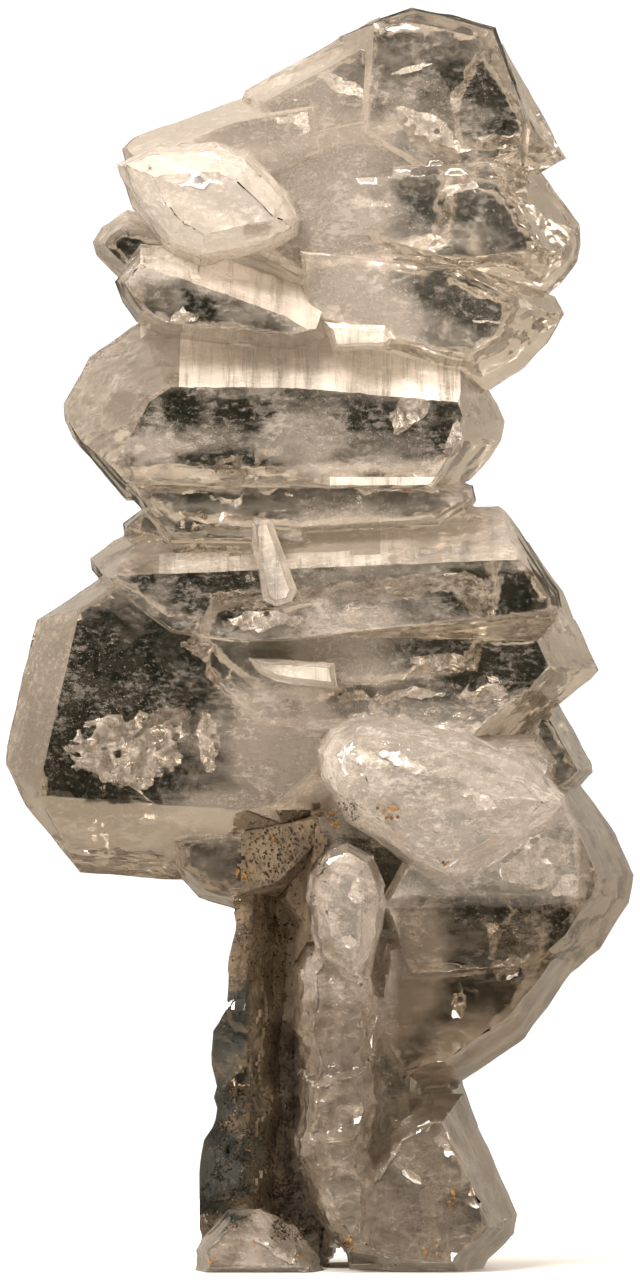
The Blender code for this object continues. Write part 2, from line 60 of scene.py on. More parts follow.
camera.rotation_euler = (math.pi / 2, 0.0, 0.0)
bpy.context.scene.camera = camera

# Studio. A round pale table top, a white backdrop that only the camera sees, and round it a soft
# warm room with a dark card on each of its four sides, which the flat windows of the crystal show.
TABLE_RADIUS = 0.15
PAPER = "#f3f3f4"
CARD = "#24261f"
CARD_DEGREES = 11.0
CARD_FADE = 7.0
ROOM_LOW = "#8e8577"
ROOM_HIGH = "#d8cbb9"
BACK_STRENGTH = 1.15
FRONT_STRENGTH = 1.6


def linear(hex_colour):
    """An sRGB hex colour as linear RGBA."""
    parts = [int(hex_colour[i:i + 2], 16) / 255 for i in (1, 3, 5)]
    return [c / 12.92 if c <= 0.04045 else ((c + 0.055) / 1.055) ** 2.4 for c in parts] + [1.0]


def add_node(tree, kind, links=(), **settings):
    """A node with its settings and links: (input, value) or (input, node, output)."""
    node = tree.nodes.new(kind)
    for key, value in settings.items():
        setattr(node, key, value)
    for link in links:
        if len(link) == 3:
            tree.links.new(link[1].outputs[link[2]], node.inputs[link[0]])
        else:
            node.inputs[link[0]].default_value = link[1]
    return node


floor_form = bmesh.new()
bmesh.ops.create_circle(floor_form, cap_ends=True, segments=96, radius=TABLE_RADIUS)
floor_mesh = bpy.data.meshes.new("floor")
floor_form.to_mesh(floor_mesh)
floor_form.free()
floor = bpy.data.objects.new("floor", floor_mesh)
bpy.context.scene.collection.objects.link(floor)
paper = bpy.data.materials.new("matt_paper")
paper.use_nodes = True
paper.node_tree.nodes["Principled BSDF"].inputs["Base Color"].default_value = linear(PAPER)
paper.node_tree.nodes["Principled BSDF"].inputs["Roughness"].default_value = 0.9
floor.data.materials.append(paper)
floor.visible_glossy = False
floor.visible_transmission = False

world = bpy.data.worlds.new("studio")
world.use_nodes = True
tree = world.node_tree
tree.nodes.clear()
direction = add_node(tree, "ShaderNodeTexCoord")
unit = add_node(tree, "ShaderNodeVectorMath", [(0, direction, "Generated")], operation="NORMALIZE")
split = add_node(tree, "ShaderNodeSeparateXYZ", [("Vector", unit, 0)])
along_x = add_node(tree, "ShaderNodeMath", [(0, split, "X")], operation="ABSOLUTE")
along_y = add_node(tree, "ShaderNodeMath", [(0, split, "Y")], operation="ABSOLUTE")
nearest = add_node(tree, "ShaderNodeMath", [(0, along_x, 0), (1, along_y, 0)], operation="MAXIMUM")
card_edge = math.cos(math.radians(CARD_DEGREES + CARD_FADE))
card_core = math.cos(math.radians(CARD_DEGREES))
card = add_node(tree, "ShaderNodeMapRange",
                [("Value", nearest, 0), ("From Min", card_edge), ("From Max", card_core)],
                interpolation_type="SMOOTHSTEP")
upward = add_node(tree, "ShaderNodeMapRange", [("Value", split, "Z"), ("From Min", -0.6), ("From Max", 0.8)])
room = add_node(tree, "ShaderNodeMix", [(0, upward, 0), (6, linear(ROOM_LOW)), (7, linear(ROOM_HIGH))],
                data_type="RGBA")
behind = add_node(tree, "ShaderNodeMix", [(0, card, 0), (6, room, 2), (7, linear(CARD))],
                  data_type="RGBA")
rays = add_node(tree, "ShaderNodeLightPath")
seen = add_node(tree, "ShaderNodeMix", [(0, rays, "Is Camera Ray"), (6, behind, 2), (7, (1, 1, 1, 1))],
                data_type="RGBA")
front_half = add_node(tree, "ShaderNodeMapRange",
                      [("Value", split, "Y"), ("From Min", 0.1), ("From Max", -0.7),
                       ("To Min", BACK_STRENGTH), ("To Max", FRONT_STRENGTH)])
light = add_node(tree, "ShaderNodeBackground", [("Color", seen, 2), ("Strength", front_half, 0)])
add_node(tree, "ShaderNodeOutputWorld", [("Surface", light, 0)])
bpy.context.scene.world = world


def soft_light(name, place, target, width, height, power, colour, mirrored):
    """A soft rectangular lamp that faces its target, and whether the crystal's faces mirror it."""
    data = bpy.data.lights.new(name, "AREA")
    data.shape = "RECTANGLE"
    data.size = width
    data.size_y = height
    data.energy = power
    data.color = linear(colour)[:3]
    lamp = bpy.data.objects.new(name, data)
    bpy.context.scene.collection.objects.link(lamp)
    lamp.location = place
    lamp.rotation_euler = (Vector(target) - Vector(place)).to_track_quat("-Z", "Y").to_euler()
    lamp.visible_camera = False
    lamp.visible_glossy = mirrored
    return lamp


# Faces mirror the key lamp alone, which gives the fractures and the faces their glints; the shelves'
# brightness is mostly a painted highlight in their colour.
CRYSTAL_MIDDLE = (0.0, 0.0, 0.05)
soft_light("top_softbox", (-0.1, -0.15, 0.9), CRYSTAL_MIDDLE, 0.4, 0.4, 6.5, "#fff7f0", False)
soft_light("key_softbox", (-0.45, -0.75, 0.75), CRYSTAL_MIDDLE, 0.35, 0.35, 11.0, "#fff5ec", True)
soft_light("fill_softbox", (0.8, -0.4, 0.2), CRYSTAL_MIDDLE, 0.15, 0.4, 1.2, "#ffeedf", False)
back_light = soft_light("back_softbox", (0.45, 0.75, 0.6), CRYSTAL_MIDDLE, 0.4, 0.4, 7.0, "#fff7f0", False)
back_light.visible_transmission = False
bpy.context.scene.view_settings.view_transform = "Standard"
bpy.context.scene.cycles.max_bounces = 12
bpy.context.scene.cycles.transmission_bounces = 12
bpy.context.scene.cycles.glossy_bounces = 6
bpy.context.scene.cycles.diffuse_bounces = 3
bpy.context.scene.cycles.transparent_max_bounces = 8
bpy.context.scene.cycles.caustics_reflective = False
bpy.context.scene.cycles.caustics_refractive = True

# Quartz crystals. One grown solid of clear quartz, colourless with a faint smoky tint. The flat
# faces carry growth hills and striations, and the oldest crystals have dull, lumpy faces.
GRID_MM = 0.8
FINE_GRID_MM = 0.4
SHARP_DEGREES = 24
# How milky the quartz is where neither a cloud nor a window says otherwise, and in a window.
MILKY = 0.45
WINDOW_MILK = 0.14
# Thick milk, as seen from the front: (x, z) of the middle, half width, half height, and how thick.
CLOUDS = [(-6.0, 87.0, 16.0, 13.0, 1.0), (3.0, 78.0, 9.0, 6.0, 1.0), (2.0, 58.5, 6.0, 3.0, 1.0),
          (3.0, 50.0, 7.0, 4.0, 1.0), (-3.0, 42.0, 6.0, 7.0, 1.0), (-8.0, 36.5, 5.0, 2.6, 1.0),
          (-7.0, 3.0, 4.0, 3.5, 1.0), (-1.0, 66.2, 4.6, 4.0, 0.7), (-12.6, 65.4, 3.6, 1.8, 0.9),
          (4.0, 63.8, 7.0, 1.4, 0.9), (6.5, 24.0, 4.6, 7.0, 1.0), (12.0, 18.4, 5.0, 2.6, 0.9)]
# Clear windows in the milk: (x, z) of the middle, half width, half height and turn in degrees, in mm.
WINDOWS = [(13.8, 94.6, 4.4, 2.2, -8), (16.6, 90.4, 4.0, 2.8, 0), (9.5, 85.2, 3.6, 1.5, -20),
           (17.4, 83.4, 5.0, 2.8, -25), (13.0, 77.6, 6.4, 3.0, -20), (16.6, 87.2, 2.6, 1.4, 0),
           (-4.8, 82.6, 1.2, 0.6, 10), (-15.2, 81.5, 1.8, 1.2, 0), (-9.6, 76.8, 1.8, 1.0, -20),
           (-15.4, 68.8, 2.4, 1.3, 0), (-11.0, 68.6, 1.6, 1.7, 0), (-6.2, 68.2, 2.8, 1.1, 0),
           (-7.6, 64.4, 3.8, 0.8, -6), (4.8, 67.8, 3.8, 1.2, 0), (11.4, 66.8, 3.0, 2.6, 0),
           (6.0, 62.8, 2.8, 0.6, -6), (-8.8, 62.0, 3.8, 0.6, -4), (-10.0, 59.6, 2.4, 0.7, 0),
           (-9.0, 57.8, 3.6, 1.2, 0), (-14.2, 55.2, 1.0, 1.3, 0), (-7.2, 53.9, 5.4, 2.4, -8),
           (14.0, 54.1, 6.0, 2.0, 0), (14.0, 49.0, 8.2, 2.6, -4), (15.0, 45.0, 6.4, 1.9, 0),
           (-16.4, 47.6, 9.0, 5.6, 0), (-17.8, 41.4, 7.4, 6.4, 0), (14.7, 29.5, 4.2, 1.5, 0),
           (19.2, 27.4, 1.4, 3.6, 0), (13.4, 24.3, 3.2, 0.8, -4), (12.0, 22.2, 2.2, 1.1, 0),
           (14.9, 21.6, 0.9, 1.4, 0), (8.9, 13.9, 2.8, 1.4, 0), (11.8, 12.4, 1.2, 2.3, 0),
           (13.1, 4.8, 1.8, 3.4, 20), (-7.6, 12.0, 2.4, 13.0, 0)]
# Frosted crystals: (x from, x to, z from, z to, y of the plane in front of which they lie, how
# frosted), in mm.
FROSTED = [(-0.8, 20.4, 30.0, 45.0, -5.4, 1.0), (-17.0, -1.0, 79.4, 90.6, -3.6, 1.0),
           (-2.0, 5.8, 21.8, 34.8, -6.2, 0.8), (-3.0, 5.8, -1.0, 26.6, -2.8, 0.35),
           (-10.4, 0.4, 0.0, 5.8, -3.6, 0.7)]
# Striated shelves: (x from, x to, z from, z to, slant of the lines, seed, least slope, y limit, how
# pale), in mm. How pale is a painted highlight: the shelves are painted pale in stripes in place of
# the lamps they mirror.
SHELVES = [(-11.2, 11.2, 68.8, 76.0, 0.22, 1, 0.3, 2.0, 1.0),
           (5.0, 15.8, 55.4, 61.4, -0.04, 2, 0.3, 2.0, 0.3),
           (-13.0, 5.0, 55.0, 57.2, -0.04, 7, 0.3, 2.0, 0.45),
           (-14.5, 0.8, 74.6, 82.2, 0.05, 3, 0.3, 2.0, 0.8),
           (0.0, 6.4, 72.8, 76.0, 0.1, 4, -1.0, -7.0, 0.7),
           (-6.0, -1.4, 52.4, 60.4, 0.25, 5, -1.0, -8.4, 0.8),
           (-6.4, 2.0, 45.8, 49.4, 0.35, 6, -1.0, -6.4, 0.7),
           (1.0, 9.4, 62.4, 63.2, 0.0, 8, -1.0, 2.0, 0.9)]
# Each striation is a strip of a width between these, which stands up or down by about the step.
STRIPS = 160
STRIP_WIDTHS_MM = (0.15, 0.9)
STRIP_STEP_MM = 0.045
# Regions of the lower part, as (x from, x to, z from, z to) in mm: the grimy wall and stem, the clear
# glass at the wall's edge, which is painted dark as painted shade, the lumpy columns, and the rough face of
# the wall.
WALL_GRIME = (-4.8, 0.9, 3.5, 37.5)
STEM_GRIME = (-3.0, 6.0, 1.0, 25.0)
DARK_GLASS_SHADE_BOX = (-10.0, -5.9, 4.5, 23.0)
COLUMNS = (-2.5, 16.0, 1.0, 24.0)
ROUGH_WALL = (-5.0, 0.9, 1.0, 36.0)
# Growth hills, as height for width, and soft lumps, as depth in mm.
FRONT_HILLS = 0.012
BACK_HILLS = 0.20
SIDE_HILLS = 0.05
FROST_HILLS = 0.16
COLUMN_HILLS = 0.20
FACE_LUMPS_MM = 0.02
FROST_LUMPS_MM = 0.08
COLUMN_LUMPS_MM = 0.05
WALL_LUMPS_MM = 0.22


def ramp(value, low, high):
    """0 at low and 1 at high, with a smooth step between."""
    part = np.clip((value - low) / (high - low), 0.0, 1.0)
    return part * part * (3.0 - 2.0 * part)


def cloud(points, size, seed, octaves=3):
    """Soft noise, about -1 to 1, at points in mm, with lumps of the given size."""
    shift = Vector((17.3, 5.1, 9.7)) * seed
    return np.array([noise.fractal(Vector(p) / size + shift, 1.0, 2.0, octaves) for p in points])


def hills(points, size, seed):
    """Depth below the tops of many low pyramids, like the growth hills on a crystal face."""
    turn = Matrix.Rotation(0.7 + seed, 3, Vector((1.0, 0.6, 0.4)))
    return np.array([noise.voronoi(turn @ Vector(p) / size, distance_metric="MANHATTAN")[0][0]
                     for p in points]) * size


def milk_share(points):
    """How milky the quartz is at points in mm: thick in the clouds, little in the windows."""
    x, z = points[:, 0], points[:, 2]
    ragged = 0.22 * cloud(points, 2.4, 1)
    share = np.full(len(points), MILKY)
    for px, pz, half_width, half_height, thick in CLOUDS:
        away = np.hypot((x - px) / half_width, (z - pz) / half_height) + ragged
        share = np.maximum(share, thick * ramp(away, 1.25, 0.5))
    for px, pz, half_width, half_height, turn in WINDOWS:
        c, s = math.cos(math.radians(turn)), math.sin(math.radians(turn))
        along, across = (x - px) * c + (z - pz) * s, (z - pz) * c - (x - px) * s
        away = np.hypot(along / half_width, across / half_height) ** 1.5 + ragged
        share = np.minimum(share, WINDOW_MILK + (1 - WINDOW_MILK) * ramp(away, 0.6, 1.6))
    return share


def box_share(points, x0, x1, z0, z1, soft=0.6):
    """1 inside a box seen from the front, fading to 0 over its soft edge."""
    x, z = points[:, 0], points[:, 2]
    return (ramp(x, x0 - soft, x0) * ramp(x, x1 + soft, x1) * ramp(z, z0 - soft, z0)
            * ramp(z, z1 + soft, z1))


def sliced_copy():
    """The cluster as a bmesh in mm, with its flat faces cut into a grid, and its shelves in strips."""
    form = bmesh.new()
    form.from_mesh(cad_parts["quartz_cluster"].data)
    bmesh.ops.remove_doubles(form, verts=form.verts, dist=0.000001)
    bmesh.ops.scale(form, vec=(1000, 1000, 1000), verts=form.verts)
    bmesh.ops.dissolve_limit(form, angle_limit=0.01, verts=form.verts, edges=form.edges)
    for x0, x1, z0, z1, slant, seed, slope, limit, pale_and_painted_light in SHELVES:
        widths = np.random.default_rng(seed).uniform(*STRIP_WIDTHS_MM, STRIPS)
        across = Vector((1.0, 0.0, slant)).normalized()
        for place in x0 + np.cumsum(widths):
            if place > x1 + abs(slant) * (z1 - z0):
                break
            faces = [f for f in form.faces if on_shelf(f, x0, x1, z0, z1, slope, limit)]
            parts = set(faces)
            for face in faces:
                parts.update(face.edges)
                parts.update(face.verts)
            point = Vector((place, 0.0, z0))
            bmesh.ops.bisect_plane(form, geom=list(parts), dist=1e-5, plane_co=point, plane_no=across)
    cut_in_grid(form, GRID_MM, lambda face: True)
    cut_in_grid(form, FINE_GRID_MM, is_fine)
    return form


def cut_in_grid(form, cell, chosen):
    """Cuts the chosen faces with planes a cell apart along X, Y and Z."""
    for axis in (0, 1, 2):
        normal = Vector((0, 0, 0))
        normal[axis] = 1.0

        def lowest(face):
            return min(v.co[axis] for v in face.verts)

        waiting = sorted((f for f in form.faces if chosen(f)), key=lowest, reverse=True)
        cut = math.floor(lowest(waiting[-1]) / cell) * cell + cell
        active = []
        while waiting or active:
            while waiting and lowest(waiting[-1]) < cut:
                active.append(waiting.pop())
            active = [f for f in active if max(v.co[axis] for v in f.verts) > cut + 0.0001]
            parts = set(active)
            for face in active:
                parts.update(face.edges)
            if active:
                done = bmesh.ops.bisect_plane(form, geom=list(parts), dist=1e-4, plane_co=normal * cut,
                                              plane_no=normal)
                active = [g for g in done["geom"] if isinstance(g, bmesh.types.BMFace)]
            cut += cell


def is_fine(face):
    """True for the faces of the frosted crystals and of the rough wall."""
    middle = face.calc_center_median()
    if face.normal.y > 0.3:
        return False
    on_wall = -7.4 < middle.x < 0.9 and 0.2 < middle.z < 37.0 and -3.0 < middle.y < 5.0
    return on_wall or any(x0 < middle.x < x1 and z0 < middle.z < z1 and middle.y < front
                          for x0, x1, z0, z1, front, share in FROSTED)


def on_shelf(face, x0, x1, z0, z1, slope, limit):
    """True for a face of a shelf: it looks forward, and up by at least the slope."""
    middle = face.calc_center_median()
    return (x0 < middle.x < x1 and z0 < middle.z < z1 and middle.y < limit
            and face.normal.y < -0.12 and face.normal.z > slope)


def quartz_mesh():
    """The finished crystals: relief along the normals, and how frosted, milky or stained each point is."""
    form = sliced_copy()
    form.normal_update()
    mesh = bpy.data.meshes.new("quartz_crystals")
    form.verts.index_update()
    form.faces.index_update()
    strips = np.zeros(len(form.verts))
    # Each shelf face keeps its share of painted highlight, which the material turns into pale stripes.
    shelf_highlights = np.zeros(len(form.faces))
    for x0, x1, z0, z1, slant, seed, slope, limit, pale_and_painted_light in SHELVES:
        rng = np.random.default_rng(seed)
        places = x0 + np.cumsum(rng.uniform(*STRIP_WIDTHS_MM, STRIPS))
        levels = rng.normal(0.0, STRIP_STEP_MM, STRIPS)
        for face in form.faces:
            if on_shelf(face, x0, x1, z0, z1, slope, limit):
                shelf_highlights[face.index] = pale_and_painted_light
                for vert in face.verts:
                    across = vert.co.x + slant * (vert.co.z - z0)
                    strips[vert.index] = np.interp(across, places, levels)
    form.to_mesh(mesh)
    form.free()
    count = len(mesh.vertices)
    points = np.empty(count * 3)
    normals = np.empty(count * 3)
    mesh.vertices.foreach_get("co", points)
    mesh.vertices.foreach_get("normal", normals)
    points = points.reshape(-1, 3)
    normals = normals.reshape(-1, 3)
    x, y, z = points.T
    frost = np.zeros(count)
    for x0, x1, z0, z1, front, share in FROSTED:
        here = share * box_share(points, x0, x1, z0, z1) * ramp(y, front + 1.0, front - 0.6)
        frost = np.maximum(frost, here)
    frost = np.maximum(frost, 0.35 * ramp(z, 17.0, 10.0) * ramp(x, 2.0, 5.0))
    grime = box_share(points, *WALL_GRIME) * ramp(y, 5.0, 3.0)
    grime = np.maximum(grime, 0.75 * box_share(points, *STEM_GRIME, 2.0))
    grime = np.maximum(grime, 0.4 * ramp(z, 36.0, 8.0) * ramp(x, -6.4, -4.4))
    milk = milk_share(points)
    # Painted shade: how dark the clear glass at the wall's left edge is painted.
    dark_glass_shade = box_share(points, *DARK_GLASS_SHADE_BOX) * ramp(cloud(points, 3.0, 10), -0.35, 0.1)
    front = ramp(normals[:, 1], -0.25, -0.6)
    back = ramp(normals[:, 1], 0.1, 0.45)
    inward = FRONT_HILLS * hills(points, 2.6, 1) * front
    inward += BACK_HILLS * hills(points, 3.0, 2) * back
    inward += SIDE_HILLS * hills(points, 2.2, 3) * (1 - front) * (1 - back)
    # Growth hills on frosted faces are about twice as long as they are high.
    long_grain = points @ np.array([[0.45, 0.0, -0.16], [0.0, 1.0, 0.0], [0.35, 0.0, 0.95]]).T
    inward += frost * (FROST_HILLS * hills(long_grain, 1.8, 4) + FROST_LUMPS_MM * (1 + cloud(points, 0.9, 5)))
    columns = box_share(points, *COLUMNS, 1.5) * ramp(y, -1.5, -3.0)
    inward += columns * (COLUMN_HILLS * hills(points, 1.4, 8) + COLUMN_LUMPS_MM * (1 + cloud(points, 0.7, 9)))
    inward += FACE_LUMPS_MM * (1 + cloud(points, 1.6, 6))
    rough_wall = box_share(points, *ROUGH_WALL, 0.8) * ramp(y, 5.5, 4.0)
    inward += rough_wall * WALL_LUMPS_MM * (1 + cloud(points, 1.1, 7))
    inward -= strips
    inward[z < 0.05] = 0.0
    points -= normals * inward[:, None]
    mesh.vertices.foreach_set("co", (points * 0.001).ravel())
    for name, values in (("frost", frost), ("milk", milk), ("grime", grime), ("dark_glass_shade", dark_glass_shade)):
        mesh.attributes.new(name, "FLOAT", "POINT").data.foreach_set("value", values)
    mesh.attributes.new("shelf", "FLOAT", "FACE").data.foreach_set("value", shelf_highlights)
    mesh.shade_smooth()
    mesh.set_sharp_from_angle(angle=math.radians(SHARP_DEGREES))
    return mesh


quartz = bpy.data.objects.new("quartz_crystals", quartz_mesh())
bpy.context.scene.collection.objects.link(quartz)

# Clear quartz: a glassy solid with IOR 1.544 and a glossy skin. Soft milk hides under the skin along
# the thread and thins out in the windows. Frosted crystals look pale and dull, the shelves carry a
# painted highlight in pale stripes, brown silt stains the wall and the stem, the colour is painted
# darker towards the bottom as painted shade, and the wall's left edge is painted dark glass as painted shade.
# Scales are lumps to the metre. Striations and flecks are really about 0.1 mm wide, too fine to
# show, so they are drawn 1.1 and 0.4 mm wide.
QUARTZ_IOR = 1.544
STRIATION_SCALE = 900.0
STRIATION_BAND_SCALE = 260.0
FEATHER_SCALE = 900.0
CLOUD_SCALE = 300.0
FLECK_SCALE = 2400.0
SPECK_SCALE = 2600.0
STAIN_SCALE = 420.0
HILLOCK_SCALE = 700.0
PITTING_SCALE = 1500.0
# The lower tint is painted shade: the quartz is painted darker towards its foot, from the upper tint above 52
# mm to the lower one below 23 mm.
UPPER_TINT = "#f3e9de"
SHADED_LOWER_TINT = "#9c8d7a"
FROST_AND_HIGHLIGHT_TINT = "#f7efe6"
STAIN_TINT = "#7a664d"
DARK_GLASS_SHADE_TINT = "#3f4b4c"
clear = bpy.data.materials.new("clear_quartz")
clear.use_nodes = True
tree = clear.node_tree
shader = tree.nodes["Principled BSDF"]
shader.inputs["IOR"].default_value = QUARTZ_IOR
place = add_node(tree, "ShaderNodeTexCoord")
frost = add_node(tree, "ShaderNodeAttribute", attribute_name="frost")
milk = add_node(tree, "ShaderNodeAttribute", attribute_name="milk")
grime = add_node(tree, "ShaderNodeAttribute", attribute_name="grime")
shelf = add_node(tree, "ShaderNodeAttribute", attribute_name="shelf")
dark_glass_shade = add_node(tree, "ShaderNodeAttribute", attribute_name="dark_glass_shade")


def sum_of(*terms):
    """A clamped sum of terms, each (node, output, factor)."""
    total = None
    for node, output, factor in terms:
        links = [(0, node, output), (1, factor)] + ([(2, total, 0)] if total else [(2, 0.0)])
        total = add_node(tree, "ShaderNodeMath", links, operation="MULTIPLY_ADD")
    total.use_clamp = True
    return total


slant = add_node(tree, "ShaderNodeMapping", [("Vector", place, "Object"), ("Rotation", (0.0, 0.16, 0.0)),
                                             ("Scale", (1.0, 0.04, 0.04))])
lines = add_node(tree, "ShaderNodeTexNoise", [("Vector", slant, 0), ("Scale", STRIATION_SCALE),
                                              ("Detail", 6.0), ("Roughness", 0.8)])
bands = add_node(tree, "ShaderNodeTexNoise", [("Vector", slant, 0), ("Scale", STRIATION_BAND_SCALE),
                                              ("Detail", 1.0)])
fan = add_node(tree, "ShaderNodeMapping", [("Vector", place, "Object"), ("Rotation", (0.0, 0.25, 0.0)),
                                           ("Scale", (0.45, 1.0, 1.0))])
feathers = add_node(tree, "ShaderNodeTexNoise", [("Vector", fan, 0), ("Scale", FEATHER_SCALE),
                                                 ("Detail", 8.0), ("Roughness", 0.75)])
clouds = add_node(tree, "ShaderNodeTexNoise", [("Vector", place, "Object"), ("Scale", CLOUD_SCALE),
                                               ("Detail", 9.0), ("Roughness", 0.72)])
specks = add_node(tree, "ShaderNodeTexNoise", [("Vector", place, "Object"), ("Scale", SPECK_SCALE),
                                               ("Detail", 4.0), ("Roughness", 0.6)])
flecks = add_node(tree, "ShaderNodeTexNoise", [("Vector", fan, 0), ("Scale", FLECK_SCALE),
                                               ("Detail", 6.0), ("Roughness", 0.8)])
flecked = add_node(tree, "ShaderNodeMath", [(0, clouds, "Fac"), (1, 0.8), (2, flecks, "Fac")],
                   operation="MULTIPLY_ADD")
film = add_node(tree, "ShaderNodeMapRange", [("Value", flecked, 0), ("From Min", 0.93), ("From Max", 1.02)])
dots = add_node(tree, "ShaderNodeMapRange", [("Value", specks, "Fac"), ("From Min", 0.57),
                                             ("From Max", 0.64)])
narrow = add_node(tree, "ShaderNodeMapRange", [("Value", lines, "Fac"), ("From Min", 0.38),
                                               ("From Max", 0.52), ("To Min", 0.3), ("To Max", 1.0)])
wide = add_node(tree, "ShaderNodeMapRange", [("Value", bands, "Fac"), ("From Min", 0.42),
                                             ("From Max", 0.52), ("To Min", 0.5), ("To Max", 1.0)])
grooves = add_node(tree, "ShaderNodeMath", [(0, narrow, 0), (1, wide, 0)], operation="MULTIPLY")
striped_highlight = add_node(tree, "ShaderNodeMath", [(0, grooves, 0), (1, shelf, "Fac")], operation="MULTIPLY")
feathered = add_node(tree, "ShaderNodeMath", [(0, feathers, "Fac"), (1, 1.2), (2, milk, "Fac")],
                     operation="MULTIPLY_ADD")
patchy = add_node(tree, "ShaderNodeMapRange",
                  [("Value", feathered, 0), ("From Min", 0.86), ("From Max", 1.46)])
# The shelves' striped cover is a painted highlight: pale, dull stripes in place of the lamps they mirror.
cover = sum_of((film, 0, 0.15), (dots, 0, 0.07), (patchy, 0, 0.27), (frost, "Fac", 0.18),
               (grime, "Fac", 0.12), (striped_highlight, 0, 0.72))
opposite = add_node(tree, "ShaderNodeMath", [(0, 1.0), (1, cover, 0)], operation="SUBTRACT")
tree.links.new(opposite.outputs[0], shader.inputs["Transmission Weight"])
stain = add_node(tree, "ShaderNodeTexNoise", [("Vector", place, "Object"), ("Scale", STAIN_SCALE),
                                              ("Detail", 8.0), ("Roughness", 0.7)])
blotches = add_node(tree, "ShaderNodeMapRange", [("Value", stain, "Fac"), ("From Min", 0.35),
                                                 ("From Max", 0.75)])
stained = add_node(tree, "ShaderNodeMath", [(0, blotches, 0), (1, grime, "Fac")], operation="MULTIPLY")
split = add_node(tree, "ShaderNodeSeparateXYZ", [("Vector", place, "Object")])
# Painted shade: a height ramp that darkens the body colour towards the bottom.
lower_shade = add_node(tree, "ShaderNodeMapRange", [("Value", split, "Z"), ("From Min", 0.052),
                                              ("From Max", 0.023)])
height_shaded_tint = add_node(tree, "ShaderNodeMix", [(0, lower_shade, 0), (6, linear(UPPER_TINT)), (7, linear(SHADED_LOWER_TINT))],
                 data_type="RGBA")
# Painted highlight on the shelves, together with the frosted crystals' own paleness.
pale_and_painted_light = sum_of((frost, "Fac", 0.75), (shelf, "Fac", 0.9))
tint = add_node(tree, "ShaderNodeMix", [(0, pale_and_painted_light, 0), (6, height_shaded_tint, 2), (7, linear(FROST_AND_HIGHLIGHT_TINT))],
                data_type="RGBA")
brown = add_node(tree, "ShaderNodeMix", [(0, stained, 0), (6, tint, 2), (7, linear(STAIN_TINT))],
                 data_type="RGBA")
# Painted shade: the glass at the wall's left edge is tinted dark blue-grey, for the dark surroundings seen
# through it.
body = add_node(tree, "ShaderNodeMix", [(0, dark_glass_shade, "Fac"), (6, brown, 2), (7, linear(DARK_GLASS_SHADE_TINT))],
                data_type="RGBA")
tree.links.new(body.outputs[2], shader.inputs["Base Color"])
dull = sum_of((frost, "Fac", 0.05), (grime, "Fac", 0.10), (film, 0, 0.03), (patchy, 0, 0.12),
              (shelf, "Fac", 0.12))
rough = add_node(tree, "ShaderNodeMath", [(0, dull, 0), (1, 0.015)], operation="ADD")
tree.links.new(rough.outputs[0], shader.inputs["Roughness"])
hillocks = add_node(tree, "ShaderNodeTexNoise", [("Vector", place, "Object"), ("Scale", HILLOCK_SCALE),
                                                 ("Detail", 2.0), ("Roughness", 0.4)])
fine = add_node(tree, "ShaderNodeTexNoise", [("Vector", place, "Object"), ("Scale", PITTING_SCALE),
                                             ("Detail", 3.0), ("Roughness", 0.5)])
low_bump = add_node(tree, "ShaderNodeBump", [("Height", hillocks, "Fac"), ("Strength", 1.0),
                                             ("Distance", 0.00005)])
strong = sum_of((frost, "Fac", 0.8), (grime, "Fac", 0.7), (film, 0, 0.10))
fine_bump = add_node(tree, "ShaderNodeBump", [("Height", fine, "Fac"), ("Strength", strong, 0),
                                              ("Distance", 0.00016), ("Normal", low_bump, 0)])
ribbed = add_node(tree, "ShaderNodeMath", [(0, shelf, "Fac"), (1, 0.7), (2, 0.10)], operation="MULTIPLY_ADD")
bump = add_node(tree, "ShaderNodeBump", [("Height", lines, "Fac"), ("Strength", ribbed, 0),
                                         ("Distance", 0.00004), ("Normal", fine_bump, 0)])
tree.links.new(bump.outputs[0], shader.inputs["Normal"])
shader.inputs["Coat Weight"].default_value = 0.5
shader.inputs["Coat Roughness"].default_value = 0.03
shader.inputs["Coat IOR"].default_value = 1.5
absorb = add_node(tree, "ShaderNodeVolumeAbsorption", [("Color", linear("#cfc6b2")), ("Density", 16.0)])
tree.links.new(absorb.outputs[0], tree.nodes["Material Output"].inputs["Volume"])
quartz.data.materials.append(clear)
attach(quartz, "root")
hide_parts("quartz_cluster")

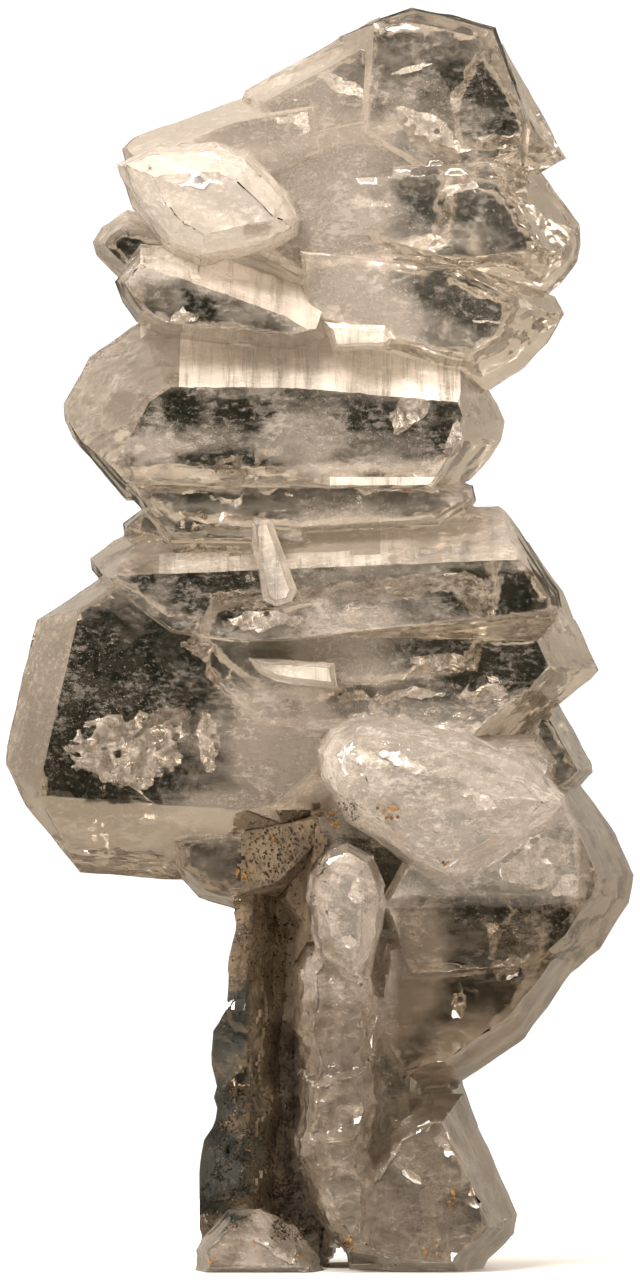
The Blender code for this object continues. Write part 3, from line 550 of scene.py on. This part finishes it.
# Healed fractures. Thin, crinkled gaps inside the clear crystals, where the quartz once cracked;
# they mirror the light and show as white glints and cloudy sheets under the surface.
# Each is (x, z) of its middle, its width, height and depth below the front face, turn, lean, seed.
FRACTURES = [
    (-15.2, 41.6, 11.0, 6.6, 3.0, -8, -13, 9), (-16.0, 40.6, 9.0, 5.6, 2.4, 10, -28, 21),
    (-13.0, 43.0, 7.0, 5.0, 3.8, -25, 38, 22), (-9.0, 42.2, 2.2, 6.4, 2.0, -4, -18, 10),
    (-2.0, 92.4, 7.5, 3.0, 0.5, 20, -10, 1), (1.6, 94.6, 5.0, 1.8, 0.6, 25, -14, 2),
    (9.0, 91.0, 7.0, 2.6, 2.4, 30, -16, 8), (7.3, 95.8, 4.4, 1.0, 0.5, -14, -13, 47),
    (-10.6, 87.4, 6.5, 3.4, 0.6, 15, -13, 3), (-9.0, 88.6, 4.0, 1.6, 0.5, -20, -15, 33),
    (-12.6, 85.0, 2.4, 1.2, 0.4, 10, -14, 34), (4.8, 85.0, 2.6, 0.9, 0.5, 8, -14, 51),
    (10.8, 86.2, 4.2, 1.2, 0.5, -6, -13, 4), (3.6, 85.2, 3.0, 1.2, 1.2, 10, -15, 5),
    (5.8, 81.4, 8.0, 0.5, 0.4, 13, -13, 50), (15.2, 79.5, 4.6, 0.9, 0.6, 25, -16, 6),
    (13.4, 75.5, 5.0, 0.8, 0.6, 4, -14, 7), (-11.0, 75.6, 3.4, 2.6, 1.0, -20, -16, 16),
    (7.0, 68.5, 5.0, 3.2, 2.4, -50, -20, 18), (-4.2, 66.8, 5.6, 0.35, 0.6, 28, -13, 27),
    (-12.4, 67.2, 0.4, 4.0, 0.6, 16, -13, 28), (-9.0, 67.2, 0.35, 4.4, 0.5, -25, -13, 53),
    (-6.0, 64.6, 8.0, 2.4, 4.0, -14, 45, 19), (10.6, 66.4, 1.6, 3.4, 0.6, 20, -16, 54),
    (12.8, 46.0, 4.6, 2.2, 1.2, -6, -16, 11), (9.4, 48.6, 5.2, 1.8, 1.4, -5, -18, 12),
    (7.0, 45.9, 7.0, 1.4, 1.2, -3, -15, 29), (-4.4, 51.8, 7.0, 2.2, 3.0, 4, -30, 20),
    (-14.0, 37.8, 4.0, 0.5, 0.5, 35, -13, 31), (3.0, 40.8, 5.0, 2.6, 1.0, 20, -20, 24),
    (1.6, 40.6, 2.4, 4.0, 0.5, 15, -13, 26), (6.6, 40.6, 5.0, 1.6, 0.5, 25, -13, 45),
    (12.6, 37.6, 4.0, 1.4, 0.5, 25, -13, 46), (10.4, 32.4, 8.0, 1.8, 0.5, 20, -13, 55),
    (18.2, 33.6, 5.0, 3.0, 0.6, 25, -14, 25), (15.6, 33.2, 7.0, 4.6, 2.0, 30, -25, 13),
    (16.4, 31.4, 6.0, 2.4, 0.5, 15, -14, 35), (19.6, 30.6, 3.4, 2.0, 0.5, -30, -14, 36),
    (11.0, 21.2, 2.0, 3.6, 1.0, 10, -16, 14), (14.8, 24.0, 3.4, 2.4, 1.6, -40, -20, 15),
    (12.6, 24.0, 3.0, 0.8, 0.5, -10, -13, 32), (1.4, 33.2, 3.6, 2.4, 0.5, 10, -13, 37),
    (3.2, 30.2, 2.2, 3.0, 0.5, -15, -13, 38), (4.4, 19.0, 1.2, 3.4, 0.4, 6, -13, 39),
    (2.2, 26.4, 2.0, 1.6, 0.4, 20, -13, 40), (3.0, 12.4, 1.4, 2.0, 0.4, 20, -13, 44),
    (10.4, 10.4, 3.6, 2.6, 0.5, 30, -13, 41), (8.0, 12.0, 2.4, 1.2, 0.5, 10, -13, 42),
    (12.2, 6.0, 1.6, 2.4, 0.5, -20, -13, 43), (7.4, 7.6, 2.6, 1.2, 0.5, 35, -13, 48)]
FRACTURE_CELL_MM = 0.18
FRACTURE_THICKNESS_MM = 0.03
FRACTURE_CRINKLE_MM = 0.7
FRACTURE_RAGGED = 0.35
FRACTURE_HOLES = -0.8
RIM_SMOOTHINGS = 4
SKIN_MM = 0.15
cad_form = bmesh.new()
cad_form.from_mesh(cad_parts["quartz_cluster"].data)
bmesh.ops.scale(cad_form, vec=(1000, 1000, 1000), verts=cad_form.verts)
solid = BVHTree.FromBMesh(cad_form)
cad_form.free()


def depth_inside(point):
    """How far in mm a point lies inside the quartz; below 0 outside it."""
    surface, normal, index, distance = solid.find_nearest(point)
    return distance if (point - surface).dot(normal) < 0 else -distance


def front_of(x, z):
    """The y in mm of the front face at a place seen from the front."""
    hit = solid.ray_cast(Vector((x, -60.0, z)), Vector((0, 1, 0)))[0]
    return hit.y if hit else 0.0


def sheet_inside(form, centre, width, height, turn, lean, crinkle, seed, ragged, holes):
    """Adds a crinkled sheet with a ragged outline, kept where it lies inside the quartz.

    Holes open where a noise from about -1 to 1 falls below the value of holes.
    """
    across = max(2, round(width / FRACTURE_CELL_MM))
    up = max(2, round(height / FRACTURE_CELL_MM))
    place = (Matrix.Translation(centre) @ Matrix.Rotation(math.radians(turn), 4, "Y")
             @ Matrix.Rotation(math.radians(lean), 4, "X"))
    shift = Vector((3.7, 8.1, 2.9)) * seed
    rows = []
    for j in range(up + 1):
        row = []
        for i in range(across + 1):
            u, v = 2 * i / across - 1, 2 * j / up - 1
            flat = Vector((u * width / 2, 0.0, v * height / 2))
            flat.y = noise.fractal(flat / 2.2 + shift, 1.0, 2.0, 4) * crinkle
            edge = math.hypot(u, v) + ragged * noise.fractal(flat / 1.1 - shift, 1.0, 2.0, 4)
            point = place @ flat
            hole = noise.fractal(flat / 0.9 + shift * 2, 0.8, 2.0, 4)
            keep = edge < 0.9 and hole > holes and depth_inside(point) > SKIN_MM
            row.append(form.verts.new(point) if keep else None)
        rows.append(row)
    for low_row, high_row in zip(rows, rows[1:]):
        for i in range(across):
            corners = (low_row[i], low_row[i + 1], high_row[i + 1], high_row[i])
            if all(corners):
                form.faces.new(corners)


form = bmesh.new()
for x, z, width, height, depth, turn, lean, seed in FRACTURES:
    centre = Vector((x, front_of(x, z) + depth, z))
    crinkle = min(FRACTURE_CRINKLE_MM, 0.6 * depth)
    sheet_inside(form, centre, width, height, turn, lean, crinkle, seed, FRACTURE_RAGGED, FRACTURE_HOLES)
loose = [v for v in form.verts if not v.link_faces]
bmesh.ops.delete(form, geom=loose, context="VERTS")
for k in range(RIM_SMOOTHINGS):
    rim = [v for v in form.verts if v.is_boundary]
    bmesh.ops.smooth_vert(form, verts=rim, factor=0.5, use_axis_x=True, use_axis_y=True, use_axis_z=True)
bmesh.ops.solidify(form, geom=form.faces[:], thickness=FRACTURE_THICKNESS_MM)
bmesh.ops.recalc_face_normals(form, faces=form.faces)
bmesh.ops.scale(form, vec=(0.001, 0.001, 0.001), verts=form.verts)
fracture_mesh = bpy.data.meshes.new("healed_fractures")
form.to_mesh(fracture_mesh)
form.free()
fracture_mesh.shade_smooth()
fracture_mesh.set_sharp_from_angle(angle=math.radians(35))
fractures = bpy.data.objects.new("healed_fractures", fracture_mesh)
bpy.context.scene.collection.objects.link(fractures)

# A film of gas between two faces of quartz. It mirrors the lamps like foil where it lies smooth, and
# turns white and rough in patches of about 1 mm where it has started to heal.
FOIL_PATCH_SCALE = 900.0
CRUMPLE_SCALE = 1800.0
gap = bpy.data.materials.new("mirroring_fracture")
gap.use_nodes = True
tree = gap.node_tree
shader = tree.nodes["Principled BSDF"]
shader.inputs["Base Color"].default_value = linear("#ffffff")
place = add_node(tree, "ShaderNodeTexCoord")
patches = add_node(tree, "ShaderNodeTexNoise", [("Vector", place, "Object"), ("Scale", FOIL_PATCH_SCALE),
                                                ("Detail", 4.0), ("Roughness", 0.6)])
foil = add_node(tree, "ShaderNodeMapRange", [("Value", patches, "Fac"), ("From Min", 0.42),
                                             ("From Max", 0.58), ("To Min", 0.35), ("To Max", 0.95)])
tree.links.new(foil.outputs[0], shader.inputs["Metallic"])
healed = add_node(tree, "ShaderNodeMapRange", [("Value", patches, "Fac"), ("From Min", 0.42),
                                               ("From Max", 0.58), ("To Min", 0.30), ("To Max", 0.10)])
tree.links.new(healed.outputs[0], shader.inputs["Roughness"])
crumple = add_node(tree, "ShaderNodeTexNoise", [("Vector", place, "Object"), ("Scale", CRUMPLE_SCALE),
                                                ("Detail", 5.0), ("Roughness", 0.6)])
bump = add_node(tree, "ShaderNodeBump", [("Height", crumple, "Fac"), ("Strength", 1.0),
                                         ("Distance", 0.00012)])
tree.links.new(bump.outputs[0], shader.inputs["Normal"])
fractures.data.materials.append(gap)
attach(fractures, "root")

# The milky thread. Countless tiny fluid inclusions along the line where the crystals cracked and
# healed while they grew, with thin veils that trail from it into the fingers of the fan.
# Each veil is (x, z) of its middle, its y, width, height, turn, lean and seed, in mm and degrees.
THREAD = [(-3.0, 92.0), (1.0, 86.0), (2.5, 79.0), (1.0, 68.0), (2.4, 58.5), (3.0, 50.0), (1.0, 42.0),
          (4.0, 36.0)]
VEILS = [(x, z, y, 9.0, 9.0, 12 * math.sin(3 * k), 14 * math.cos(2 * k), 30 + k)
         for y in (-1.5, 2.0, 5.5) for k, (x, z) in enumerate(THREAD)]
VEILS += [(9.0, 93.0, 0.5, 13.0, 5.0, -20, 35, 60), (10.0, 88.0, -0.5, 14.0, 3.0, 12, 40, 61),
          (11.0, 82.5, -1.0, 15.0, 3.5, 22, -30, 62), (12.0, 77.0, -1.5, 14.0, 4.0, 18, 35, 63),
          (-10.0, 67.5, -1.0, 13.0, 5.0, -6, 40, 64), (9.0, 67.0, 0.0, 9.0, 5.0, 8, -35, 65),
          (-8.0, 54.5, -1.0, 13.0, 4.0, 5, 40, 66), (11.0, 47.0, 0.0, 12.0, 6.0, -10, 30, 67),
          (-17.0, 44.0, 1.0, 12.0, 14.0, 15, 25, 68), (15.0, 30.0, 2.0, 12.0, 10.0, 25, 30, 69)]
VEIL_CRINKLE_MM = 1.2
VEIL_RAGGED = 0.6
NO_HOLES = -9.0


def scatter_tree(name, corners, depth):
    """A node tree that strews small flakes over a mesh, each turned at random, as one plain mesh.

    A flake is a flat cone with this many corners, and its depth is a share of its radius.
    """
    tree = bpy.data.node_groups.new(name, "GeometryNodeTree")
    tree.interface.new_socket("Sheets", in_out="INPUT", socket_type="NodeSocketGeometry")
    for label, kind in (("Flakes per m2", "NodeSocketFloat"), ("Smallest", "NodeSocketFloat"),
                        ("Largest", "NodeSocketFloat"), ("Seed", "NodeSocketInt"),
                        ("Material", "NodeSocketMaterial")):
        tree.interface.new_socket(label, in_out="INPUT", socket_type=kind)
    tree.interface.new_socket("Flakes", in_out="OUTPUT", socket_type="NodeSocketGeometry")
    given = add_node(tree, "NodeGroupInput")
    points = add_node(tree, "GeometryNodeDistributePointsOnFaces",
                      [("Mesh", given, "Sheets"), ("Density", given, "Flakes per m2"),
                       ("Seed", given, "Seed")])
    flake = add_node(tree, "GeometryNodeMeshCone",
                     [("Vertices", corners), ("Radius Top", 0.15), ("Radius Bottom", 1.0), ("Depth", depth)])
    turn = add_node(tree, "FunctionNodeRandomValue", [(1, (6.283, 6.283, 6.283)), ("Seed", given, "Seed")],
                    data_type="FLOAT_VECTOR")
    size = add_node(tree, "FunctionNodeRandomValue",
                    [(2, given, "Smallest"), (3, given, "Largest"), ("Seed", 7)], data_type="FLOAT")
    strewn = add_node(tree, "GeometryNodeInstanceOnPoints",
                      [("Points", points, "Points"), ("Instance", flake, "Mesh"), ("Rotation", turn, 0),
                       ("Scale", size, 1)])
    real = add_node(tree, "GeometryNodeRealizeInstances", [("Geometry", strewn, 0)])
    painted = add_node(tree, "GeometryNodeSetMaterial",
                       [("Geometry", real, 0), ("Material", given, "Material")])
    add_node(tree, "NodeGroupOutput", [(0, painted, 0)])
    return tree


def strew(piece, tree, values):
    """Turns a piece into the plain mesh that the node tree makes of it."""
    modifier = piece.modifiers.new("scatter", "NODES")
    modifier.node_group = tree
    for item in tree.interface.items_tree:
        if item.in_out == "INPUT" and item.name in values:
            modifier[item.identifier] = values[item.name]
    evaluated = piece.evaluated_get(bpy.context.evaluated_depsgraph_get())
    mesh = bpy.data.meshes.new_from_object(evaluated)
    piece.modifiers.clear()
    piece.data = mesh


form = bmesh.new()
for x, z, y, width, height, turn, lean, seed in VEILS:
    sheet_inside(form, Vector((x, y, z)), width, height, turn, lean, VEIL_CRINKLE_MM, seed, VEIL_RAGGED,
                 NO_HOLES)
bmesh.ops.scale(form, vec=(0.001, 0.001, 0.001), verts=form.verts)
veil_mesh = bpy.data.meshes.new("milky_thread")
form.to_mesh(veil_mesh)
form.free()
thread = bpy.data.objects.new("milky_thread", veil_mesh)
bpy.context.scene.collection.objects.link(thread)

# Fluid inclusions: drops of brine in the quartz, each too small to see, which together look like
# milk. They are drawn as white flakes 0.015 to 0.055 mm in radius, coarse enough to show.
milky = bpy.data.materials.new("fluid_inclusions")
milky.use_nodes = True
shader = milky.node_tree.nodes["Principled BSDF"]
shader.inputs["Base Color"].default_value = linear("#f2eadc")
shader.inputs["Roughness"].default_value = 0.35
strew(thread, scatter_tree("inclusion_scatter", 4, 0.3),
      {"Flakes per m2": 8.0e6, "Smallest": 0.000015, "Largest": 0.000055, "Seed": 3, "Material": milky})
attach(thread, "root")

# Rock crust on the wall at the lower left, where the quartz grew against the rock: a thin skin of
# brown silt and crushed stone, with painted shade making it darkest in the groove beside the stem, and
# clear quartz at its edges.
CRUST_CELL_MM = 0.3
CRUST_X = (-7.4, 0.3)
CRUST_Z = (0.6, 37.0)
# The wall's left edge stays bare: a wide margin below this height and a narrow one above it.
MARGIN_Z = 23.0
WIDE_MARGIN_MM = 2.5
NARROW_MARGIN_MM = 0.6
CRUST_RELIEF_MM = 0.16
CRUST_THICKNESS_MM = 0.25
form = bmesh.new()
form.from_mesh(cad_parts["quartz_cluster"].data)
bmesh.ops.remove_doubles(form, verts=form.verts, dist=0.000001)
bmesh.ops.scale(form, vec=(1000, 1000, 1000), verts=form.verts)


def crust_amount(point):
    """Above 0 where the crust covers the wall."""
    left = CRUST_X[0] + (WIDE_MARGIN_MM if point.z < MARGIN_Z else NARROW_MARGIN_MM)
    side = min(point.x - left, CRUST_X[1] - point.x, point.z - CRUST_Z[0], CRUST_Z[1] - point.z)
    return side + 1.3 * noise.fractal(point / 2.6, 1.0, 2.0, 4)


def is_wall(face):
    """True for a face of the wall or the groove that looks forward."""
    middle = face.calc_center_median()
    front = -2.4 if middle.z < 29.0 else -3.8
    return (CRUST_X[0] - 2 < middle.x < CRUST_X[1] + 1 and CRUST_Z[0] - 1 < middle.z < CRUST_Z[1] + 1
            and front < middle.y < 4.5 and face.normal.y < -0.2)


bmesh.ops.delete(form, geom=[f for f in form.faces if not is_wall(f)], context="FACES")
cut_in_grid(form, CRUST_CELL_MM, lambda face: True)
bare = [f for f in form.faces if crust_amount(f.calc_center_median()) < 0.15]
bmesh.ops.delete(form, geom=bare, context="FACES")
form.normal_update()
for vert in form.verts:
    relief = 0.5 + 0.5 * noise.fractal(vert.co / 0.55, 0.8, 2.0, 4)
    relief += 0.6 * noise.fractal(vert.co / 1.8, 1.0, 2.0, 3)
    vert.co += vert.normal * (0.02 + CRUST_RELIEF_MM * relief)
bmesh.ops.solidify(form, geom=form.faces[:], thickness=CRUST_THICKNESS_MM)
bmesh.ops.recalc_face_normals(form, faces=form.faces)
bmesh.ops.scale(form, vec=(0.001, 0.001, 0.001), verts=form.verts)
crust_mesh = bpy.data.meshes.new("wall_crust")
form.to_mesh(crust_mesh)
form.free()
crust_mesh.shade_smooth()
crust_mesh.set_sharp_from_angle(angle=math.radians(40))
crust = bpy.data.objects.new("wall_crust", crust_mesh)
bpy.context.scene.collection.objects.link(crust)

# Silt stained by iron: matt grey-brown earth with dark grit. It is painted paler where the wall lies
# recessed, as painted light against the shadow there, and nearly black towards the foot of the groove,
# as painted shade. Blotches are about 2 mm wide and grit about 0.4 mm. Each pair of colours is dark and pale.
BLOTCH_SCALE = 500.0
GRIT_SCALE = 2600.0
SHOWN = ("#5c5040", "#83735d")
# The recessed colours are painted light: paler, to offset the shadow in the recess.
RECESS_PAINTED_LIGHT = ("#6f6150", "#94836a")
# The shaded colours are painted shade, for the foot of the groove.
GROOVE_PAINTED_SHADE = ("#1f1a15", "#5a4e3f")
GRIT = "#241a12"
silt = bpy.data.materials.new("iron_stained_silt")
silt.use_nodes = True
tree = silt.node_tree
shader = tree.nodes["Principled BSDF"]
place = add_node(tree, "ShaderNodeTexCoord")
split = add_node(tree, "ShaderNodeSeparateXYZ", [("Vector", place, "Object")])
blotches = add_node(tree, "ShaderNodeTexNoise", [("Vector", place, "Object"), ("Scale", BLOTCH_SCALE),
                                                 ("Detail", 8.0), ("Roughness", 0.75)])
grit = add_node(tree, "ShaderNodeTexNoise", [("Vector", place, "Object"), ("Scale", GRIT_SCALE),
                                             ("Detail", 3.0), ("Roughness", 0.6)])
groove = add_node(tree, "ShaderNodeMapRange", [("Value", split, "X"), ("From Min", -0.0048),
                                               ("From Max", -0.0025)])
lower_shade = add_node(tree, "ShaderNodeMapRange", [("Value", split, "Z"), ("From Min", 0.026),
                                              ("From Max", 0.018)])
# Painted light: the silt is painted paler where the wall lies recessed, to offset the shadow there.
recess_light_mask = add_node(tree, "ShaderNodeMapRange", [("Value", split, "Y"), ("From Min", -0.0026),
                                              ("From Max", 0.0002)])
# Painted shade: the silt darkens to near black towards the foot of the groove.
groove_shade_mask = add_node(tree, "ShaderNodeMath", [(0, groove, 0), (1, lower_shade, 0)], operation="MULTIPLY")
mottle = add_node(tree, "ShaderNodeMapRange", [("Value", blotches, "Fac"), ("From Min", 0.38),
                                               ("From Max", 0.62)])
shown = add_node(tree, "ShaderNodeMix", [(0, mottle, 0), (6, linear(SHOWN[0])), (7, linear(SHOWN[1]))],
                 data_type="RGBA")
recess_painted_light = add_node(tree, "ShaderNodeMix", [(0, mottle, 0), (6, linear(RECESS_PAINTED_LIGHT[0])),
                                            (7, linear(RECESS_PAINTED_LIGHT[1]))], data_type="RGBA")
pale_and_painted_light = add_node(tree, "ShaderNodeMix", [(0, recess_light_mask, 0), (6, shown, 2), (7, recess_painted_light, 2)], data_type="RGBA")
soft_mottle = add_node(tree, "ShaderNodeMapRange", [("Value", blotches, "Fac"), ("From Min", 0.35),
                                                    ("From Max", 0.65)])
groove_shade_colour = add_node(tree, "ShaderNodeMix", [(0, soft_mottle, 0), (6, linear(GROOVE_PAINTED_SHADE[0])), (7, linear(GROOVE_PAINTED_SHADE[1]))],
                data_type="RGBA")
ground = add_node(tree, "ShaderNodeMix", [(0, groove_shade_mask, 0), (6, pale_and_painted_light, 2), (7, groove_shade_colour, 2)], data_type="RGBA")
gritty = add_node(tree, "ShaderNodeMapRange", [("Value", grit, "Fac"), ("From Min", 0.60),
                                               ("From Max", 0.65)])
speckled = add_node(tree, "ShaderNodeMix", [(0, gritty, 0), (6, ground, 2), (7, linear(GRIT))],
                    data_type="RGBA")
tree.links.new(speckled.outputs[2], shader.inputs["Base Color"])
shader.inputs["Roughness"].default_value = 0.8
bump = add_node(tree, "ShaderNodeBump", [("Height", grit, "Fac"), ("Strength", 1.0), ("Distance", 0.0002)])
tree.links.new(bump.outputs[0], shader.inputs["Normal"])
crust.data.materials.append(silt)
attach(crust, "root")

# Limonite and silt. Rust-brown grains of iron oxide and black specks of rock, which lie on the wall,
# in the hollows under the milky crystal, and along the broken edges of the feet.
# Each spot is (x, z) of its middle, its width and height, in mm.
BLACK_SPOTS = [(-2.8, 33.0, 7.0, 7.0), (-4.2, 27.0, 4.0, 8.0), (-3.2, 12.0, 3.0, 20.0), (-2.4, 6.0, 3.4, 8.0),
               (1.6, 36.6, 4.0, 2.0), (-6.5, 9.0, 4.0, 12.0)]
RUST_SPOTS = [(-6.6, 38.8, 1.0, 0.6), (-5.8, 32.0, 1.8, 2.4), (-2.3, 29.6, 1.2, 0.9), (-4.0, 34.2, 1.6, 0.9),
              (-4.0, 29.2, 0.9, 0.7), (1.3, 36.0, 1.8, 2.0), (5.2, 36.6, 2.6, 1.4), (9.8, 32.6, 1.4, 0.8),
              (7.6, 31.6, 1.2, 0.6), (1.6, 28.2, 0.9, 0.8), (-7.4, 11.6, 1.4, 0.8), (2.2, 2.0, 1.5, 2.6),
              (5.4, 0.9, 0.9, 0.6), (8.8, 1.6, 2.0, 1.2), (10.6, 5.6, 1.2, 1.8), (-8.4, 1.0, 1.3, 0.9),
              (-5.2, 2.0, 0.8, 1.5), (-1.0, 1.4, 1.6, 1.6), (5.6, 41.2, 0.6, 0.6)]
SPOT_CELL_MM = 0.25
# Grains on the crust lie this far in front of the quartz, so that the crust doesn't bury them.
CRUST_LIFT_MM = 0.16


def surface_patches(name, spots):
    """Ragged patches that lie on the front of the quartz, for grains to be strewn over."""
    form = bmesh.new()
    for x, z, width, height in spots:
        across = max(2, round(width / SPOT_CELL_MM))
        up = max(2, round(height / SPOT_CELL_MM))
        rows = []
        for j in range(up + 1):
            row = []
            for i in range(across + 1):
                u, v = 2 * i / across - 1, 2 * j / up - 1
                px, pz = x + u * width / 2, max(z + v * height / 2, 0.15)
                edge = math.hypot(u, v) + 0.6 * noise.noise(Vector((px, 0.0, pz)) / 0.8)
                y = front_of(px, pz)
                lift = CRUST_LIFT_MM if CRUST_X[0] < px < CRUST_X[1] and pz < CRUST_Z[1] else 0.0
                row.append(form.verts.new((px, y - lift, pz)) if edge < 0.95 and y != 0.0 else None)
            rows.append(row)
        for low_row, high_row in zip(rows, rows[1:]):
            for i in range(across):
                corners = (low_row[i], low_row[i + 1], high_row[i + 1], high_row[i])
                if all(corners) and max(c.co.y for c in corners) - min(c.co.y for c in corners) < 1.0:
                    form.faces.new(corners)
    bmesh.ops.scale(form, vec=(0.001, 0.001, 0.001), verts=form.verts)
    mesh = bpy.data.meshes.new(name)
    form.to_mesh(mesh)
    form.free()
    patch = bpy.data.objects.new(name, mesh)
    bpy.context.scene.collection.objects.link(patch)
    return patch


def grain_material(name, darkest, palest, scale):
    """A dull earthy material whose colour changes every few grains; scale is lumps to the metre."""
    material = bpy.data.materials.new(name)
    material.use_nodes = True
    nodes = material.node_tree
    spot = add_node(nodes, "ShaderNodeTexCoord")
    mottle = add_node(nodes, "ShaderNodeTexNoise",
                      [("Vector", spot, "Object"), ("Scale", scale), ("Detail", 2.0)])
    share = add_node(nodes, "ShaderNodeMapRange",
                     [("Value", mottle, "Fac"), ("From Min", 0.35), ("From Max", 0.65)])
    colour = add_node(nodes, "ShaderNodeMix", [(0, share, 0), (6, linear(darkest)), (7, linear(palest))],
                      data_type="RGBA")
    principled = nodes.nodes["Principled BSDF"]
    nodes.links.new(colour.outputs[2], principled.inputs["Base Color"])
    principled.inputs["Roughness"].default_value = 0.6
    return material


# Rock silt is near-black grit. Limonite is iron rust, orange in thin grains and brown in thick ones.
grain_scatter = scatter_tree("grain_scatter", 5, 1.1)
black_specks = surface_patches("silt_specks", BLACK_SPOTS)
strew(black_specks, grain_scatter,
      {"Flakes per m2": 9.0e6, "Smallest": 0.00004, "Largest": 0.00013, "Seed": 11,
       "Material": grain_material("rock_silt", "#17120e", "#4f3d2c", 900.0)})
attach(black_specks, "root")
rust = surface_patches("limonite_grains", RUST_SPOTS)
strew(rust, grain_scatter,
      {"Flakes per m2": 1.0e7, "Smallest": 0.00006, "Largest": 0.00020, "Seed": 12,
       "Material": grain_material("limonite", "#4c2c15", "#a87b38", 700.0)})
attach(rust, "root")
